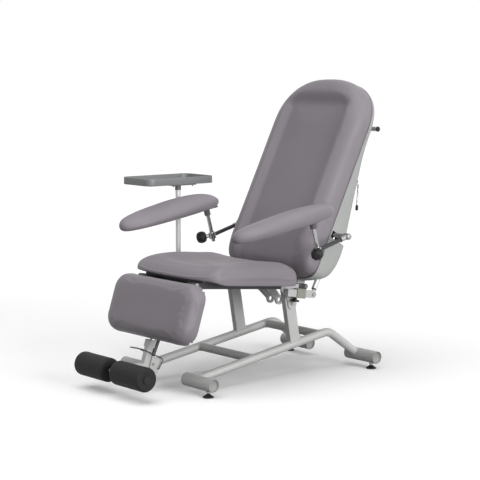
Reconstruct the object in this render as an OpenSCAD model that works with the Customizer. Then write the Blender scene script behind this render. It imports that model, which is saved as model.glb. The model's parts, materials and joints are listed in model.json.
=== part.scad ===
// Phlebotomy chair: welded tube base, fixed seat, reclining back on a gas spring,
// lifting leg rest on a gas spring, two height-adjustable arm rests and a swivel tray.
// Millimetres. +Z up, the chair faces -Y, +X is the sitter's left.
// The origin lies on the floor, midway between the four levelling feet.

/* [Base frame] */
// Distance between the front and the rear foot tubes
base_length = 1000; // [900:10:1100]
// Distance from the middle plane to the centre of a side rail
rail_x = 198; // [185:1:215]
// Diameter of the side rails and the cross tubes
rail_d = 40; // [32:1:44]
// Wall of every round tube in the base
tube_wall = 2.5; // [1.5:0.5:4]
// Diameter of the foot tubes
foot_d = 60; // [50:1:70]
// Height of the foot tubes' centre above the floor
foot_z = 58; // [52:1:70]
// Distance from the middle plane to a foot tube's inner end
foot_in_x = 140; // [110:1:150]
// Distance from the middle plane to a foot tube's outer end
foot_out_x = 335; // [320:1:370]
// Distance from the middle plane to a levelling foot
leveller_x = 297; // [260:1:300]
// Travel of a levelling foot below its shortest setting
leveller_travel = 20; // [10:1:25]
// Distance behind the middle where the rails start to fall
rail_fall_y = 308; // [295:1:320]
// Height of the rails' centre where they start to fall
rail_fall_z = 190.5; // [175:0.5:205]

/* [Uprights] */
// Depth of an upright, front to rear
upright_w = 58; // [50:1:66]
// Width of an upright
upright_t = 30; // [25:1:36]
// Distance behind the middle of an upright's foot
upright_y = 90; // [80:1:100]
// Forward lean of the uprights
upright_lean = 10; // [8:0.5:12]

/* [Seat] */
// Distance behind the middle of the back's hinge
hinge_y = 150; // [140:1:165]
// Height of the back's hinge
hinge_z = 422; // [405:1:450]
// Rise of the seat towards the front
seat_tilt = 5.5; // [4:0.5:7]
// Distance from the back's hinge to the leg rest's hinge
seat_frame_length = 650; // [635:1:665]
// Side of the square tubes of the seat, back and leg frames
frame_tube = 25; // [22:1:28]
// Thickness of the plywood boards
board_t = 12; // [9:1:15]
// Width of the seat cushion
seat_w = 606; // [560:2:630]
// Height of the seat cushion at its bolsters
seat_h = 88; // [70:1:100]
// Height that the middle of the seat lies below its bolsters
seat_dip = 15; // [8:1:24]
// From the back's hinge to the rear edge of the seat cushion
seat_gap = 76; // [66:2:92]

/* [Back] */
// Lean of the back at rest
back_lean = 26.6; // [20:0.2:32]
// Width of the back cushion
back_w = 604; // [570:2:620]
// Distance along the back from the hinge to the top of the cushion
back_top = 1028; // [980:2:1050]
// Distance along the back from the hinge to the cushion's lower edge
back_foot = 30; // [24:1:50]
// Thickness of the back cushion at its border
back_t = 106; // [90:1:115]
// Depth of the back cushion's middle panel below its border
panel_depth = 15; // [6:1:24]
// Width of the back cushion's border
border_w = 84; // [70:1:100]
// Depth of the rear shell, as a share of its drawn depth
shell_share = 1; // [0.9:0.02:1.1]
// Wall of the rear shell
shell_wall = 4; // [3:0.5:5]

/* [Arms] */
// Distance from the middle plane to an arm's stem
arm_x = 387; // [372:1:410]
// Slope of the arm bars
arm_slope = 15.5; // [10:0.5:20]
// Length of an arm bar from the cross tube to the stem
arm_reach = 185; // [170:1:200]
// Diameter of the arm bars and the stems
arm_d = 19; // [16:1:22]
// Length of a stem above its clamp
stem_up = 132; // [120:1:170]
// Forward slope of the pads
pad_slope = 9.5; // [6:0.5:16]
// Length of a pad
pad_length = 588; // [560:2:620]
// Width of a pad
pad_w = 162; // [140:2:164]
// Thickness of a pad
pad_t = 62; // [50:1:70]

/* [Tray] */
// Distance from the middle plane to the tray's post
post_x = 500; // [485:1:520]
// Distance in front of the middle of the tray's post
post_y = 58; // [50:1:120]
// Diameter of the tray's post
post_d = 25; // [22:1:30]
// Height of the tray's underside
tray_z = 867; // [850:1:900]
// Width of the tray, side to side
tray_w = 236; // [200:2:260]
// Length of the tray, front to rear
tray_length = 408; // [360:2:420]
// Height of the tray's rim
tray_h = 30; // [24:1:36]

/* [Leg rest] */
// Forward lean of the leg rest at rest
leg_lean = 18; // [14:0.5:24]
// Width of the leg cushion
leg_w = 612; // [570:2:630]
// Length of the leg cushion
leg_length = 276; // [250:2:300]
// Thickness of the leg cushion
leg_t = 70; // [55:1:80]
// Distance from the leg rest's hinge to the footrest arm, along the leg
shin_length = 404; // [392:1:430]
// Distance from the leg tube forward to the rollers' axle
foot_reach = 162; // [150:1:190]
// Diameter of the foot rollers
roller_d = 109; // [96:1:114]
// Length of one foot roller
roller_length = 215; // [190:1:230]

/* [Hidden] */
$fn = 48;

// Distance that cuts run past a face
over = 1;
// Radial clearance of a shaft that turns or slides in its hole
fit = 0.05;
// Gap between a piece and the seat that carries it
rest_gap = 0.3;
// Gap between moving faces
side_gap = 1;
// How much thinner a bend is drawn than its straight runs, so that each closes on its own
bend_ease = 0.1;

foot_y = base_length / 2;
rail_bend = 80;
rail_front_z = foot_z + 3;
front_cross_y = 160;
rear_cross_y = 254;
rail_slope = atan((rail_fall_z - rail_front_z) / (rail_fall_y + foot_y));
rail_points = [[-foot_y, rail_front_z], [rail_fall_y, rail_fall_z], [foot_y + 2, foot_z]];
function rail_z(y) = rail_front_z + (y + foot_y) * tan(rail_slope);

leveller_pad_d = 50;
leveller_pad_h = 5;
leveller_cone_h = 11;
leveller_stem_d = 12;
leveller_nut_d = 20;
leveller_nut_h = 6;
cap_t = 3;
cap_plug = 14;

rail_in = 25;
rail_half = frame_tube / 2;
seat_rail_x = rail_x + upright_t / 2 - rail_half;
pin_d = 10;
pin_head_d = 18;
leg_boss_d = 19;
leg_pivot_y = -seat_frame_length;
leg_pivot_n = 5;
pin_head_h = 4;
hinge_tube_x = seat_rail_x - rail_half - side_gap - rail_half;
cushion_base = rail_half + board_t;
lug_t = 8;
lug_w = 50;
lug_drop = 116;
lug_head = 30;
lug_y = -108;
bolt_d = 10;
bolt_head_d = 17;
bolt_head_h = 6;

seat_nosing = 4;
seat_front = seat_frame_length + seat_nosing;
seat_rear = seat_gap;
seat_length = seat_front - seat_rear;

front_bar_y = 554;
rear_bar_y = 60;
seat_nose = 300;
seat_corner = 84;

ear_t = 10;
ear_x = 31;
ear_d = 46;
ear_bore_d = 22;
ear_y = -1;
ear_drop = 71;

anchor_y = 11;
anchor_z = -33.5;
anchor_off = 10;
anchor_foot_y = 118;
anchor_h = 34;
anchor_w = 24;
anchor_slope = 8.5;
anchor_front = 160;
spring_x = rail_x + upright_t / 2 + lug_t + anchor_off + anchor_w / 2;
fork_slot = 10;
spring_pin_d = 8;
spring_eye_t = fork_slot - 2 * side_gap;
sleeve_w = 5;
sleeve_length = 52;
sleeve_y = -80;
anchor_knob_y = -102;
knob_d = 42;
knob_h = 9;
knob_stem_d = 8;
knob_hub_d = 18;
knob_hub_h = 8;
knob_gap = 4;

// The upper anchor of the recline spring in the back's own frame
spring_up_v = 300;
spring_up_w = 34;
spring_d = 24;
spring_rod_d = 10;
spring_tube_length = 190;
spring_rod_length = 230;
open_eye_d = 15;
open_eye_rim = 5;
leg_eye_d = 21;

board_gap = 6;
back_plane = 48;
side_tube_w = back_plane - board_t - rail_half;
arm_tube_d = 22;
arm_tube_v = 261;
arm_tube_w = -back_plane + board_t + arm_tube_d / 2 + side_gap;
push_bar_d = 22;
push_bar_v = 830;
push_bar_w = 34;
push_bar_x = 272;
push_cap_d = 25;
push_cap_h = 9;
push_stub_x = hinge_tube_x;
lever_v = 541;
lever_w = -4;
lever_d = 8;
lever_x = 252;
lever_inset = 12.9;
lever_drop = 108;
lever_bend = 12;
lever_tip_d = 14;
lever_tip_h = 22;

stem_down = 30;
clamp_d = 34;
clamp_h = 30;
collar_d = 26;
collar_length = 26;
knuckle_d = 31;
knuckle_w = 28;
arm_knob_d = 58;
arm_knob_h = 50;
arm_knob_turn = 42;
knob_lobes = 8;
arm_knob_reach = 54;
arm_screw_d = 8;
left_pad_back = 125;
right_pad_back = 72;
pad_plate_t = 5;
pad_plate_w = 60;
pad_plate_length = 220;
pad_socket_d = 30;
pad_socket_h = 26;
pad_screw_d = 8;
pad_screw_h = 6;

post_collar_d = 36;
post_collar_h = 70;
post_arm_h = 25;
tray_wall = 5;
tray_corner = 26;
tray_plate_t = 4;
tray_boss_d = 30;
tray_edge = 25;
tray_back = 10;
tray_plate_back = 27;
plate_corner = 10;
tray_boss_h = 22;

leg_bar_t = 10;
leg_side_x = 143;
leg_block_x = leg_side_x + rail_half;
leg_corner = 60;
leg_block_t = seat_rail_x - rail_half - side_gap - leg_block_x;
shin_w = 30;
shin_axis = -11;
shin_gap = 6;
cheek_t = 6;
foot_arm_h = 36;
foot_arm_w = 30;
axle_d = 16;
roller_in_x = 30;
roller_edge = 10;
bracket_w = 46;
bracket_wall = 3;
bracket_h = 72;
bracket_d = 52;
leg_spring_d = 18;
leg_rod_d = 8;
leg_spring_w = 17;
leg_spring_low = 384;
leg_spring_up_y = -590;
leg_spring_up_z = -16;
leg_tube_length = 200;
leg_rod_foot = 2 * leg_spring_d + 2;
bail_d = 5;
bail_x = 33;
bail_pivot = [48, -398];
bail_path = [[48, -398], [58, -350], [-58, -330], [-106, -333]];
bail_tip_x = 8;
cheek_drop = 32;

function side_of(s) = s > 0 ? [0, 0, 0] : [1, 0, 0];
function sgn_pow(c, e) = sign(c) * pow(abs(c), e);
function smooth(t) = t <= 0 ? 0 : t >= 1 ? 1 : t * t * (3 - 2 * t);

// Places on the seat, the back and the leg rest, each in its own frame
module on_seat() { translate([0, hinge_y, hinge_z]) rotate([-seat_tilt, 0, 0]) children(); }
module on_back() { translate([0, hinge_y, hinge_z]) rotate([-back_lean, 0, 0]) children(); }
module on_leg() {
    on_seat() translate([0, leg_pivot_y, leg_pivot_n]) rotate([seat_tilt - leg_lean, 0, 0]) children();
}
module both() { children(); mirror([1, 0, 0]) children(); }
module only(s) { if (s > 0) children(); else mirror([1, 0, 0]) children(); }

// A round bar along X, Y or Z, from one place over a length
module bar_x(d, from, to) { translate([from, 0, 0]) rotate([0, 90, 0]) cylinder(d = d, h = to - from); }
module bar_y(d, from, to) { translate([0, from, 0]) rotate([-90, 0, 0]) cylinder(d = d, h = to - from); }

// A rectangle with true round corners
module round_rect(w, h, r) {
    square([w - 2 * r, h], center = true);
    square([w, h - 2 * r], center = true);
    for (x = [-1, 1], y = [-1, 1]) translate([x * (w / 2 - r), y * (h / 2 - r)]) circle(r = r);
}
// A closed box tube along Z
module box_tube(w, d, h, r = 3, wall = tube_wall) {
    linear_extrude(h) difference() {
        round_rect(w, d, r);
        round_rect(w - 2 * wall, d - 2 * wall, r / 2);
    }
}
module box_bar_x(from, to, h, d) {
    translate([from, 0, 0]) rotate([0, 90, 0]) box_tube(h, d, to - from);
}
module box_bar_y(from, to, w, h) {
    translate([0, to, 0]) rotate([90, 0, 0]) box_tube(w, h, to - from);
}

// A round bar bent in the YZ plane: points are [y, z] and radii go with the inner points
function heading(a, b) = atan2(b[1] - a[1], b[0] - a[0]);
function turn_at(p, i) =
    let (t = heading(p[i], p[i + 1]) - heading(p[i - 1], p[i])) t > 180 ? t - 360 : t < -180 ? t + 360 : t;
function cut_at(p, i, r) = i <= 0 || i >= len(p) - 1 ? 0 : r * tan(abs(turn_at(p, i)) / 2);
module straight_of(p, i, r, d) {
    a = heading(p[i], p[i + 1]);
    c = cut_at(p, i, r);
    translate([0, p[i][0] + c * cos(a), p[i][1] + c * sin(a)]) rotate([a - 90, 0, 0]) rotate([0, 0, 90])
        cylinder(d = d, h = norm(p[i + 1] - p[i]) - c - cut_at(p, i + 1, r));
}
module bends_of(p, r, d) {
    for (i = [1 : len(p) - 2]) {
        t = turn_at(p, i);
        a = heading(p[i - 1], p[i]);
        c = cut_at(p, i, r);
        s = t > 0 ? 1 : -1;
        translate([0, p[i][0] - c * cos(a) - s * r * sin(a), p[i][1] - c * sin(a) + s * r * cos(a)])
            rotate([90, 0, 90]) rotate([0, 0, s > 0 ? a - 90 : a + t + 90])
                rotate_extrude(angle = abs(t)) translate([r, 0]) circle(d = d - bend_ease);
    }
}
module bent_bar(p, r, d) {
    for (i = [0 : len(p) - 2]) straight_of(p, i, r, d);
    bends_of(p, r, d);
}

// A padded solid: an outline drawn in by each layer's inset, at each layer's height,
// closed by a point in the middle of its first and last layers
function ring(outline, half, inset, z, shape) =
    [for (p = outline) let (x = p[0] * (1 - inset / half[0]), y = p[1] * (1 - inset / half[1]))
        [x, y, z + shape(x, y, z)]];
module padded(outline, half, layers, shape) {
    n = len(outline);
    m = len(layers);
    rings = [for (l = layers) each ring(outline, half, l[0], l[1], shape)];
    low = [[0, 0, layers[0][1] + shape(0, 0, layers[0][1])]];
    top = [[0, 0, layers[m - 1][1] + shape(0, 0, layers[m - 1][1])]];
    walls = [for (k = [0 : m - 2], i = [0 : n - 1]) let (j = (i + 1) % n)
        each [[k * n + i, (k + 1) * n + i, (k + 1) * n + j], [k * n + i, (k + 1) * n + j, k * n + j]]];
    ends = [for (i = [0 : n - 1]) let (j = (i + 1) % n)
        each [[n * m, i, j], [n * m + 1, (m - 1) * n + j, (m - 1) * n + i]]];
    polyhedron(points = concat(rings, low, top), faces = concat(walls, ends), convexity = 6);
}
// An outline with round corners, evenly stepped round each corner and along each side
function soft_rect(a, b, r, k, m) =
    let (c = [[a - r, b - r], [r - a, b - r], [r - a, r - b], [a - r, r - b]])
    [for (q = [0 : 3]) each concat(
        [for (i = [0 : k]) let (t = 90 * (q + i / k)) [c[q][0] + r * cos(t), c[q][1] + r * sin(t)]],
        let (d = (q + 1) % 4, e = 90 * (q + 1), p = [c[q][0] + r * cos(e), c[q][1] + r * sin(e)],
             g = [c[d][0] + r * cos(e), c[d][1] + r * sin(e)])
        [for (i = [1 : m - 1]) p + (g - p) * i / m])];
function super_oval(a, b, e, n) =
    [for (i = [0 : n - 1]) let (t = 360 * (i + 0.5) / n) [a * sgn_pow(cos(t), 2 / e), b * sgn_pow(sin(t), 2 / e)]];

// Base frame
module rail_run(i, d) { both() translate([rail_x, 0, 0]) straight_of(rail_points, i, rail_bend, d); }
module foot_solids(y, d, in_x, out_x) { both() translate([0, y, foot_z]) bar_x(d, in_x, out_x); }
module side_rails() {
    color("silver") {
        for (i = [0, 1]) difference() {
            rail_run(i, rail_d);
            foot_solids(i == 0 ? -foot_y : foot_y, foot_d, foot_in_x - over, foot_out_x + over);
        }
        both() translate([rail_x, 0, 0]) bends_of(rail_points, rail_bend, rail_d);
    }
}
module cross_tube(y) {
    color("silver") difference() {
        translate([0, y, rail_z(y)]) bar_x(rail_d - 1, -rail_x, rail_x);
        translate([0, y, rail_z(y)]) bar_x(rail_d - 2 * tube_wall, -rail_x - over, rail_x + over);
        rail_run(0, rail_d);
    }
}
module front_cross_tube() { cross_tube(-front_cross_y); }
module rear_cross_tube() { cross_tube(rear_cross_y); }
module foot_tubes(y) {
    color("silver") difference() {
        foot_solids(y, foot_d, foot_in_x, foot_out_x);
        foot_solids(y, foot_d - 2 * tube_wall, foot_in_x - over, foot_out_x + over);
        both() translate([leveller_x, y, 0]) cylinder(r = leveller_stem_d / 2 + fit, h = foot_z);
    }
}
module front_foot_tubes() { foot_tubes(-foot_y); }
module rear_foot_tubes() { foot_tubes(foot_y); }
module foot_tube_caps() {
    color("gainsboro") for (y = [-foot_y, foot_y], s = [0, 1]) mirror([s, 0, 0]) translate([0, y, foot_z]) {
        bar_x(foot_d, foot_out_x, foot_out_x + cap_t);
        bar_x(foot_d - 2 * tube_wall, foot_out_x - cap_plug, foot_out_x);
        bar_x(foot_d, foot_in_x - cap_t, foot_in_x);
        bar_x(foot_d - 2 * tube_wall, foot_in_x, foot_in_x + cap_plug);
    }
}
module leveller(sx, sy) {
    color("dimgray") translate([sx * leveller_x, sy * foot_y, 0]) {
        cylinder(d = leveller_pad_d, h = leveller_pad_h);
        translate([0, 0, leveller_pad_h])
            cylinder(d1 = leveller_pad_d, d2 = leveller_nut_d * 0.9, h = leveller_cone_h, $fn = 48);
        cylinder(d = leveller_stem_d, h = foot_z - leveller_nut_h);
        translate([0, 0, foot_z - foot_d / 2 - rest_gap - leveller_nut_h])
            cylinder(d = leveller_nut_d, h = leveller_nut_h, $fn = 6);
    }
}
module left_front_leveller() { leveller(1, -1); }
module right_front_leveller() { leveller(-1, -1); }
module left_rear_leveller() { leveller(1, 1); }
module right_rear_leveller() { leveller(-1, 1); }

upright_foot_z = rail_z(upright_y);
module uprights() {
    seat_top = hinge_z + (hinge_y - upright_y) * tan(seat_tilt) + rail_half;
    color("silver") difference() {
        both() translate([rail_x, upright_y, upright_foot_z]) rotate([upright_lean, 0, 0])
            box_tube(upright_t, upright_w, seat_top - upright_foot_z);
        rail_run(0, rail_d);
        on_seat() translate([-seat_w / 2, -seat_frame_length, -rail_half])
            cube([seat_w, seat_frame_length + upright_w, upright_foot_z]);
    }
}

// Seat frame
module hinge_bore(y, n) { both() translate([0, y, n]) bar_x(pin_d, hinge_tube_x, seat_rail_x + frame_tube); }
module seat_side_rails() {
    tip = seat_frame_length - frame_tube;
    color("gray") on_seat() difference() {
        both() translate([seat_rail_x, 0, 0]) {
            translate([-rail_half, -tip, -rail_half]) cube([frame_tube, tip, frame_tube]);
            bar_x(frame_tube, -rail_half, rail_half);
            rotate([90, 0, 90]) translate([0, 0, -rail_half]) linear_extrude(frame_tube) {
                translate([leg_pivot_y, leg_pivot_n]) circle(d = leg_boss_d);
                polygon([[leg_pivot_y, leg_pivot_n - leg_boss_d / 2], [-tip, -rail_half], [-tip, rail_half],
                    [leg_pivot_y, leg_pivot_n + leg_boss_d / 2]]);
            }
        }
        hinge_bore(0, 0);
        hinge_bore(leg_pivot_y, leg_pivot_n);
    }
}
module seat_crossbars() {
    inner = seat_rail_x - rail_half;
    color("gray") on_seat() for (y = [-front_bar_y, -seat_frame_length / 2, -rear_bar_y])
        translate([0, y, 0]) box_bar_x(-inner, inner, frame_tube, frame_tube);
    leg_spring_ears();
}
module lug_shape() {
    top = lug_drop - lug_w / 2 + rail_half;
    translate([-lug_w / 2, 0]) square([lug_w, top]);
    circle(d = lug_w);
    polygon([[-lug_w / 2, lug_w / 2], [-lug_w / 2 - lug_head, top - 2 * rail_half], [-lug_w / 2 - lug_head, top],
        [lug_w / 2 + lug_head, top], [lug_w / 2 + lug_head, top - 2 * rail_half], [lug_w / 2, lug_w / 2]]);
}
module lug_place() {
    translate([0, hinge_y + lug_y, hinge_z + lug_head]) rotate([upright_lean, 0, 0])
        translate([0, 0, -lug_drop + lug_w / 2 - rail_half]) children();
}
module seat_lugs() {
    color("gray") difference() {
        both() lug_place() translate([rail_x + upright_t / 2, 0, 0]) rotate([90, 0, 90])
            linear_extrude(lug_t) lug_shape();
        on_seat() translate([-seat_w, -seat_frame_length, rail_half])
            cube([2 * seat_w, seat_frame_length + seat_w, seat_w]);
    }
}
module frame_bolts() {
    color("black") {
        lug_face = rail_x + upright_t / 2 + lug_t;
        both() lug_place() bar_x(bolt_head_d, lug_face, lug_face + bolt_head_h);
        on_anchor() {
            bar_x(spring_pin_d, -anchor_w / 2 - cap_t, anchor_w / 2 + cap_t);
            bar_x(bolt_head_d, anchor_w / 2, anchor_w / 2 + bolt_head_h);
        }
        on_seat() both() for (q = [[0, 0], [leg_pivot_y, leg_pivot_n]]) translate([0, q[0], q[1]]) {
            bar_x(pin_d, hinge_tube_x - rail_half, seat_rail_x + rail_half);
            bar_x(pin_head_d, seat_rail_x + rail_half, seat_rail_x + rail_half + pin_head_h);
        }
    }
}
module actuator_clevis() {
    bottom = -rail_half - ear_drop;
    color("lightgray") on_seat() both() translate([ear_x - ear_t / 2, 0, 0]) rotate([90, 0, 90])
        linear_extrude(ear_t) difference() {
            union() {
                translate([ear_y, bottom]) circle(d = ear_d);
                polygon([[ear_y - ear_d / 2, bottom], [-rear_bar_y - ear_d, -rail_half - ear_t],
                    [-rear_bar_y - ear_d, -rail_half], [-rear_bar_y + rail_half, -rail_half],
                    [ear_y + ear_d / 2, bottom]]);
            }
            translate([ear_y, bottom]) circle(d = ear_bore_d);
        }
}
module seat_board() {
    w = 2 * (seat_rail_x + rail_half);
    color("burlywood") on_seat() translate([-w / 2, -seat_front + 3 * board_t, rail_half])
        cube([w, seat_length - 5 * board_t, board_t]);
}
// Height of the seat against its border: bolsters at the sides, a dip in the middle,
// a rise to the rear and a long roll-off to the front
function seat_shape(x, y, z) =
    let (side = abs(x) / (seat_w / 2), up = smooth((z - seat_h / 3) / (seat_h / 2)),
         ahead = min(1, max(0, (-y - seat_length / 2 + seat_nose) / seat_nose)))
    up * -seat_dip * (1 - smooth(side * side * 1.3)) * smooth((seat_length / 2 + y) / seat_nose * 1.6)
        - z * 0.84 * (1 - sqrt(1 - ahead * ahead * 0.995));
module seat_cushion() {
    half = [seat_w / 2, seat_length / 2];
    h = seat_h;
    color("thistle") on_seat() translate([0, -(seat_front + seat_rear) / 2, cushion_base + rest_gap])
        padded(soft_rect(half[0], half[1], seat_corner, 7, 7), half,
            [[0.05 * h, 0], [0.01 * h, 0.08 * h], [0, 0.25 * h], [0.01 * h, 0.5 * h], [0.06 * h, 0.7 * h],
             [0.18 * h, 0.86 * h], [0.4 * h, 0.97 * h], [0.8 * h, h], [1.5 * h, h], [2.4 * h, h]],
            function (x, y, z) seat_shape(x, y, z));
}

// Lower anchor of the recline spring
module on_anchor() {
    translate([spring_x, hinge_y + anchor_y, hinge_z + anchor_z]) rotate([-anchor_slope, 0, 0]) children();
}
module spring_anchor_bar() {
    color("lightgray") on_anchor() difference() {
        union() {
            translate([-anchor_w / 2, -anchor_front, -anchor_h / 2]) cube([anchor_w, anchor_front, anchor_h]);
            bar_x(anchor_h, -anchor_w / 2, anchor_w / 2);
            translate([0, -anchor_foot_y, 0]) bar_x(anchor_h - bolt_head_h, -anchor_w / 2 - anchor_off, -anchor_w / 2);
        }
        translate([-fork_slot / 2, -anchor_h * 0.6, -anchor_h]) cube([fork_slot, 2 * anchor_h, 2 * anchor_h]);
        bar_x(spring_pin_d, -anchor_w, anchor_w);
    }
}
module anchor_sleeve() {
    tab = sleeve_y - anchor_knob_y + knob_hub_d / 2;
    under = -anchor_h / 2 - sleeve_w;
    color("darkseagreen") on_anchor() difference() {
        union() {
            translate([anchor_w / 2, sleeve_y - sleeve_length / 2, under])
                cube([sleeve_w, sleeve_length, anchor_h + 2 * sleeve_w]);
            translate([-anchor_w / 2, sleeve_y - sleeve_length / 2, -under - sleeve_w])
                cube([anchor_w + sleeve_w, sleeve_length, sleeve_w]);
            translate([-anchor_w / 2, sleeve_y - tab, under])
                cube([anchor_w + sleeve_w, tab + sleeve_length / 2, sleeve_w]);
        }
        translate([0, anchor_knob_y, -anchor_h]) cylinder(r = knob_stem_d / 2 + fit, h = anchor_h);
    }
}
module anchor_knob() {
    drop = -anchor_h / 2 - sleeve_w;
    color("black") on_anchor() translate([0, anchor_knob_y, drop - side_gap - knob_hub_h - knob_h]) {
        cylinder(d = knob_d, h = knob_h);
        cylinder(d = knob_hub_d, h = knob_h + knob_hub_h);
        cylinder(d = knob_stem_d, h = knob_h + knob_hub_h + side_gap + sleeve_w - rest_gap);
    }
}

// Tray and its post, on the sitter's right
tray_socket_z = hinge_z + (hinge_y + post_y) * tan(seat_tilt) - rail_half - post_arm_h / 2;
module tray_socket() {
    inner = seat_rail_x - rail_half;
    color("silver") translate([0, -post_y, tray_socket_z]) difference() {
        union() {
            box_bar_x(-post_x, -inner, post_arm_h, post_arm_h);
            translate([-post_x, 0, -post_collar_h / 2]) cylinder(d = post_collar_d, h = post_collar_h);
        }
        translate([-post_x, 0, -post_collar_h]) cylinder(r = post_d / 2 + fit, h = 2 * post_collar_h);
        translate([-post_x, 0, 0]) rotate([0, -90, 0]) cylinder(r = knob_stem_d / 2 + fit, h = post_collar_d);
        translate([-seat_rail_x, post_y + hinge_y, hinge_z - tray_socket_z]) rotate([-seat_tilt, 0, 0])
            translate([-frame_tube, -seat_frame_length, -rail_half]) cube([2 * frame_tube, seat_frame_length, 2 * frame_tube]);
    }
}
module tray_knob() {
    color("black") translate([-post_x - post_d / 2 - rest_gap, -post_y, tray_socket_z]) rotate([0, -90, 0]) {
        cylinder(d = knob_stem_d, h = post_collar_d / 2);
        translate([0, 0, post_collar_d / 2 - post_d / 2 + knob_gap]) {
            cylinder(d = knob_hub_d, h = knob_hub_h);
            translate([0, 0, knob_hub_h]) cylinder(d = knob_d, h = knob_h);
        }
    }
}
module tray_post() {
    color("silver") translate([-post_x, -post_y, tray_socket_z - post_collar_h / 2]) difference() {
        cylinder(d = post_d, h = tray_z - tray_plate_t - rest_gap - tray_socket_z + post_collar_h / 2);
        translate([0, 0, -over]) cylinder(d = post_d - 2 * tube_wall, h = tray_z - tray_socket_z);
    }
}
tray_out = tray_w / 2 - tray_edge;
module on_tray() { translate([-post_x - tray_out, -post_y + tray_back, tray_z]) children(); }
module tray_plate() {
    plate = tray_w * 0.58;
    color("dimgray") translate([-post_x, -post_y, tray_z - tray_plate_t]) difference() {
        union() {
            translate([-tray_out / 2, tray_plate_back, 0]) {
                linear_extrude(tray_plate_t) round_rect(plate, tray_w * 0.64, plate_corner);
                for (x = [-1, 1], y = [-1, 1]) translate([x * plate * 0.38, y * tray_w / 4, -pad_screw_h])
                    cylinder(d = pad_screw_d, h = pad_screw_h);
            }
            translate([0, 0, -tray_boss_h]) cylinder(d = tray_boss_d, h = tray_boss_h);
        }
        translate([0, 0, -tray_boss_h - over]) cylinder(r = post_d / 2 + fit, h = tray_boss_h + over);
    }
}
module tray() {
    color("gray") on_tray() difference() {
        linear_extrude(tray_h) round_rect(tray_w, tray_length, tray_corner);
        translate([0, 0, tray_wall])
            linear_extrude(tray_h) round_rect(tray_w - 2 * tray_wall, tray_length - 2 * tray_wall, tray_corner - tray_wall);
    }
}

// Back: x across, y to the rear, z up along the back
back_half_w = back_w / 2;
back_mid = (back_top + back_foot) / 2;
back_half_l = (back_top - back_foot) / 2;
crown_l = 250;
chin_l = 115;
chin_roll = 170;
function back_outline(n, w, foot) =
    [for (i = [0 : n - 1]) let (t = 360 * (i + 0.5) / n, c = cos(t), s = sin(t))
        s > 0 ? [w * sgn_pow(c, 2 / 2.4), back_top - crown_l - back_mid + crown_l * pow(s, 2 / 2.4)]
              : [w * sgn_pow(c, 2 / 3), foot + chin_l - back_mid - chin_l * pow(-s, 2 / 3)]];
module back_frame() {
    top = push_bar_v + frame_tube;
    color("silver") on_back() difference() {
        union() {
            both() {
                translate([hinge_tube_x, -side_tube_w, 0]) box_tube(frame_tube, frame_tube, top);
                translate([hinge_tube_x - rail_half, 0, 0]) rotate([90, 0, 90]) linear_extrude(frame_tube) {
                    circle(d = frame_tube);
                    polygon([[0, -rail_half], [-side_tube_w - rail_half, 0],
                        [-side_tube_w - rail_half, 4 * frame_tube], [-side_tube_w + rail_half, 4 * frame_tube],
                        [rail_half, 0]]);
                }
                translate([push_stub_x, -side_tube_w, push_bar_v]) bar_y(frame_tube, 0, side_tube_w + push_bar_w);
            }
            inner = hinge_tube_x - rail_half;
            for (v = [5 * frame_tube, back_mid, push_bar_v]) translate([0, -side_tube_w, v])
                box_bar_x(-inner, inner, frame_tube, frame_tube);
            translate([0, spring_up_w, spring_up_v]) bar_x(spring_pin_d, hinge_tube_x - rail_half, spring_x + frame_tube * 0.6);
            translate([hinge_tube_x - rail_half, -side_tube_w, spring_up_v - frame_tube / 2])
                cube([board_gap, side_tube_w + spring_up_w + rail_half, frame_tube]);
        }
        both() bar_x(pin_d + 2 * fit, hinge_tube_x - frame_tube, seat_rail_x);
        translate([0, arm_tube_w, arm_tube_v]) bar_x(arm_tube_d, -seat_rail_x, seat_rail_x);
        translate([0, push_bar_w, push_bar_v]) bar_x(push_bar_d, -seat_rail_x, seat_rail_x);
        translate([0, lever_w, lever_v]) bar_x(lever_d + 2 * fit, 0, seat_rail_x);
    }
}
module back_board() {
    w = back_w - 2 * (board_gap + shell_wall);
    color("burlywood") on_back() translate([0, -back_plane + board_t, back_foot + board_gap + shell_wall])
        rotate([90, 0, 0]) linear_extrude(board_t) {
            translate([-w / 2, chin_l * 0.6]) square([w, back_top - crown_l - back_foot - chin_l * 0.5]);
            translate([-w * 0.36, 0]) square([w * 0.72, back_top - back_foot - crown_l * 0.4]);
        }
}
module back_cushion() {
    half = [back_half_w, back_half_l];
    t = back_t;
    b = border_w;
    color("thistle") on_back() translate([0, -back_plane - rest_gap, back_mid]) rotate([90, 0, 0])
        padded(back_outline(60, back_half_w, back_foot), half,
            [[0.06 * t, 0], [0.01 * t, 0.08 * t], [0, 0.2 * t], [0.01 * t, 0.45 * t], [0.06 * t, 0.72 * t],
             [0.2 * t, 0.9 * t], [0.42 * t, t], [0.66 * t, 0.97 * t], [b * 0.95, t - panel_depth],
             [b * 1.15, t - panel_depth], [b * 1.8, t - panel_depth * 0.8], [b * 2.6, t - panel_depth * 0.7]],
            function (x, y, z)
                let (low = min(1, max(0, (chin_roll - y - back_half_l) / chin_roll)))
                -z * 0.85 * (1 - sqrt(1 - low * low * 0.995)));
}
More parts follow.
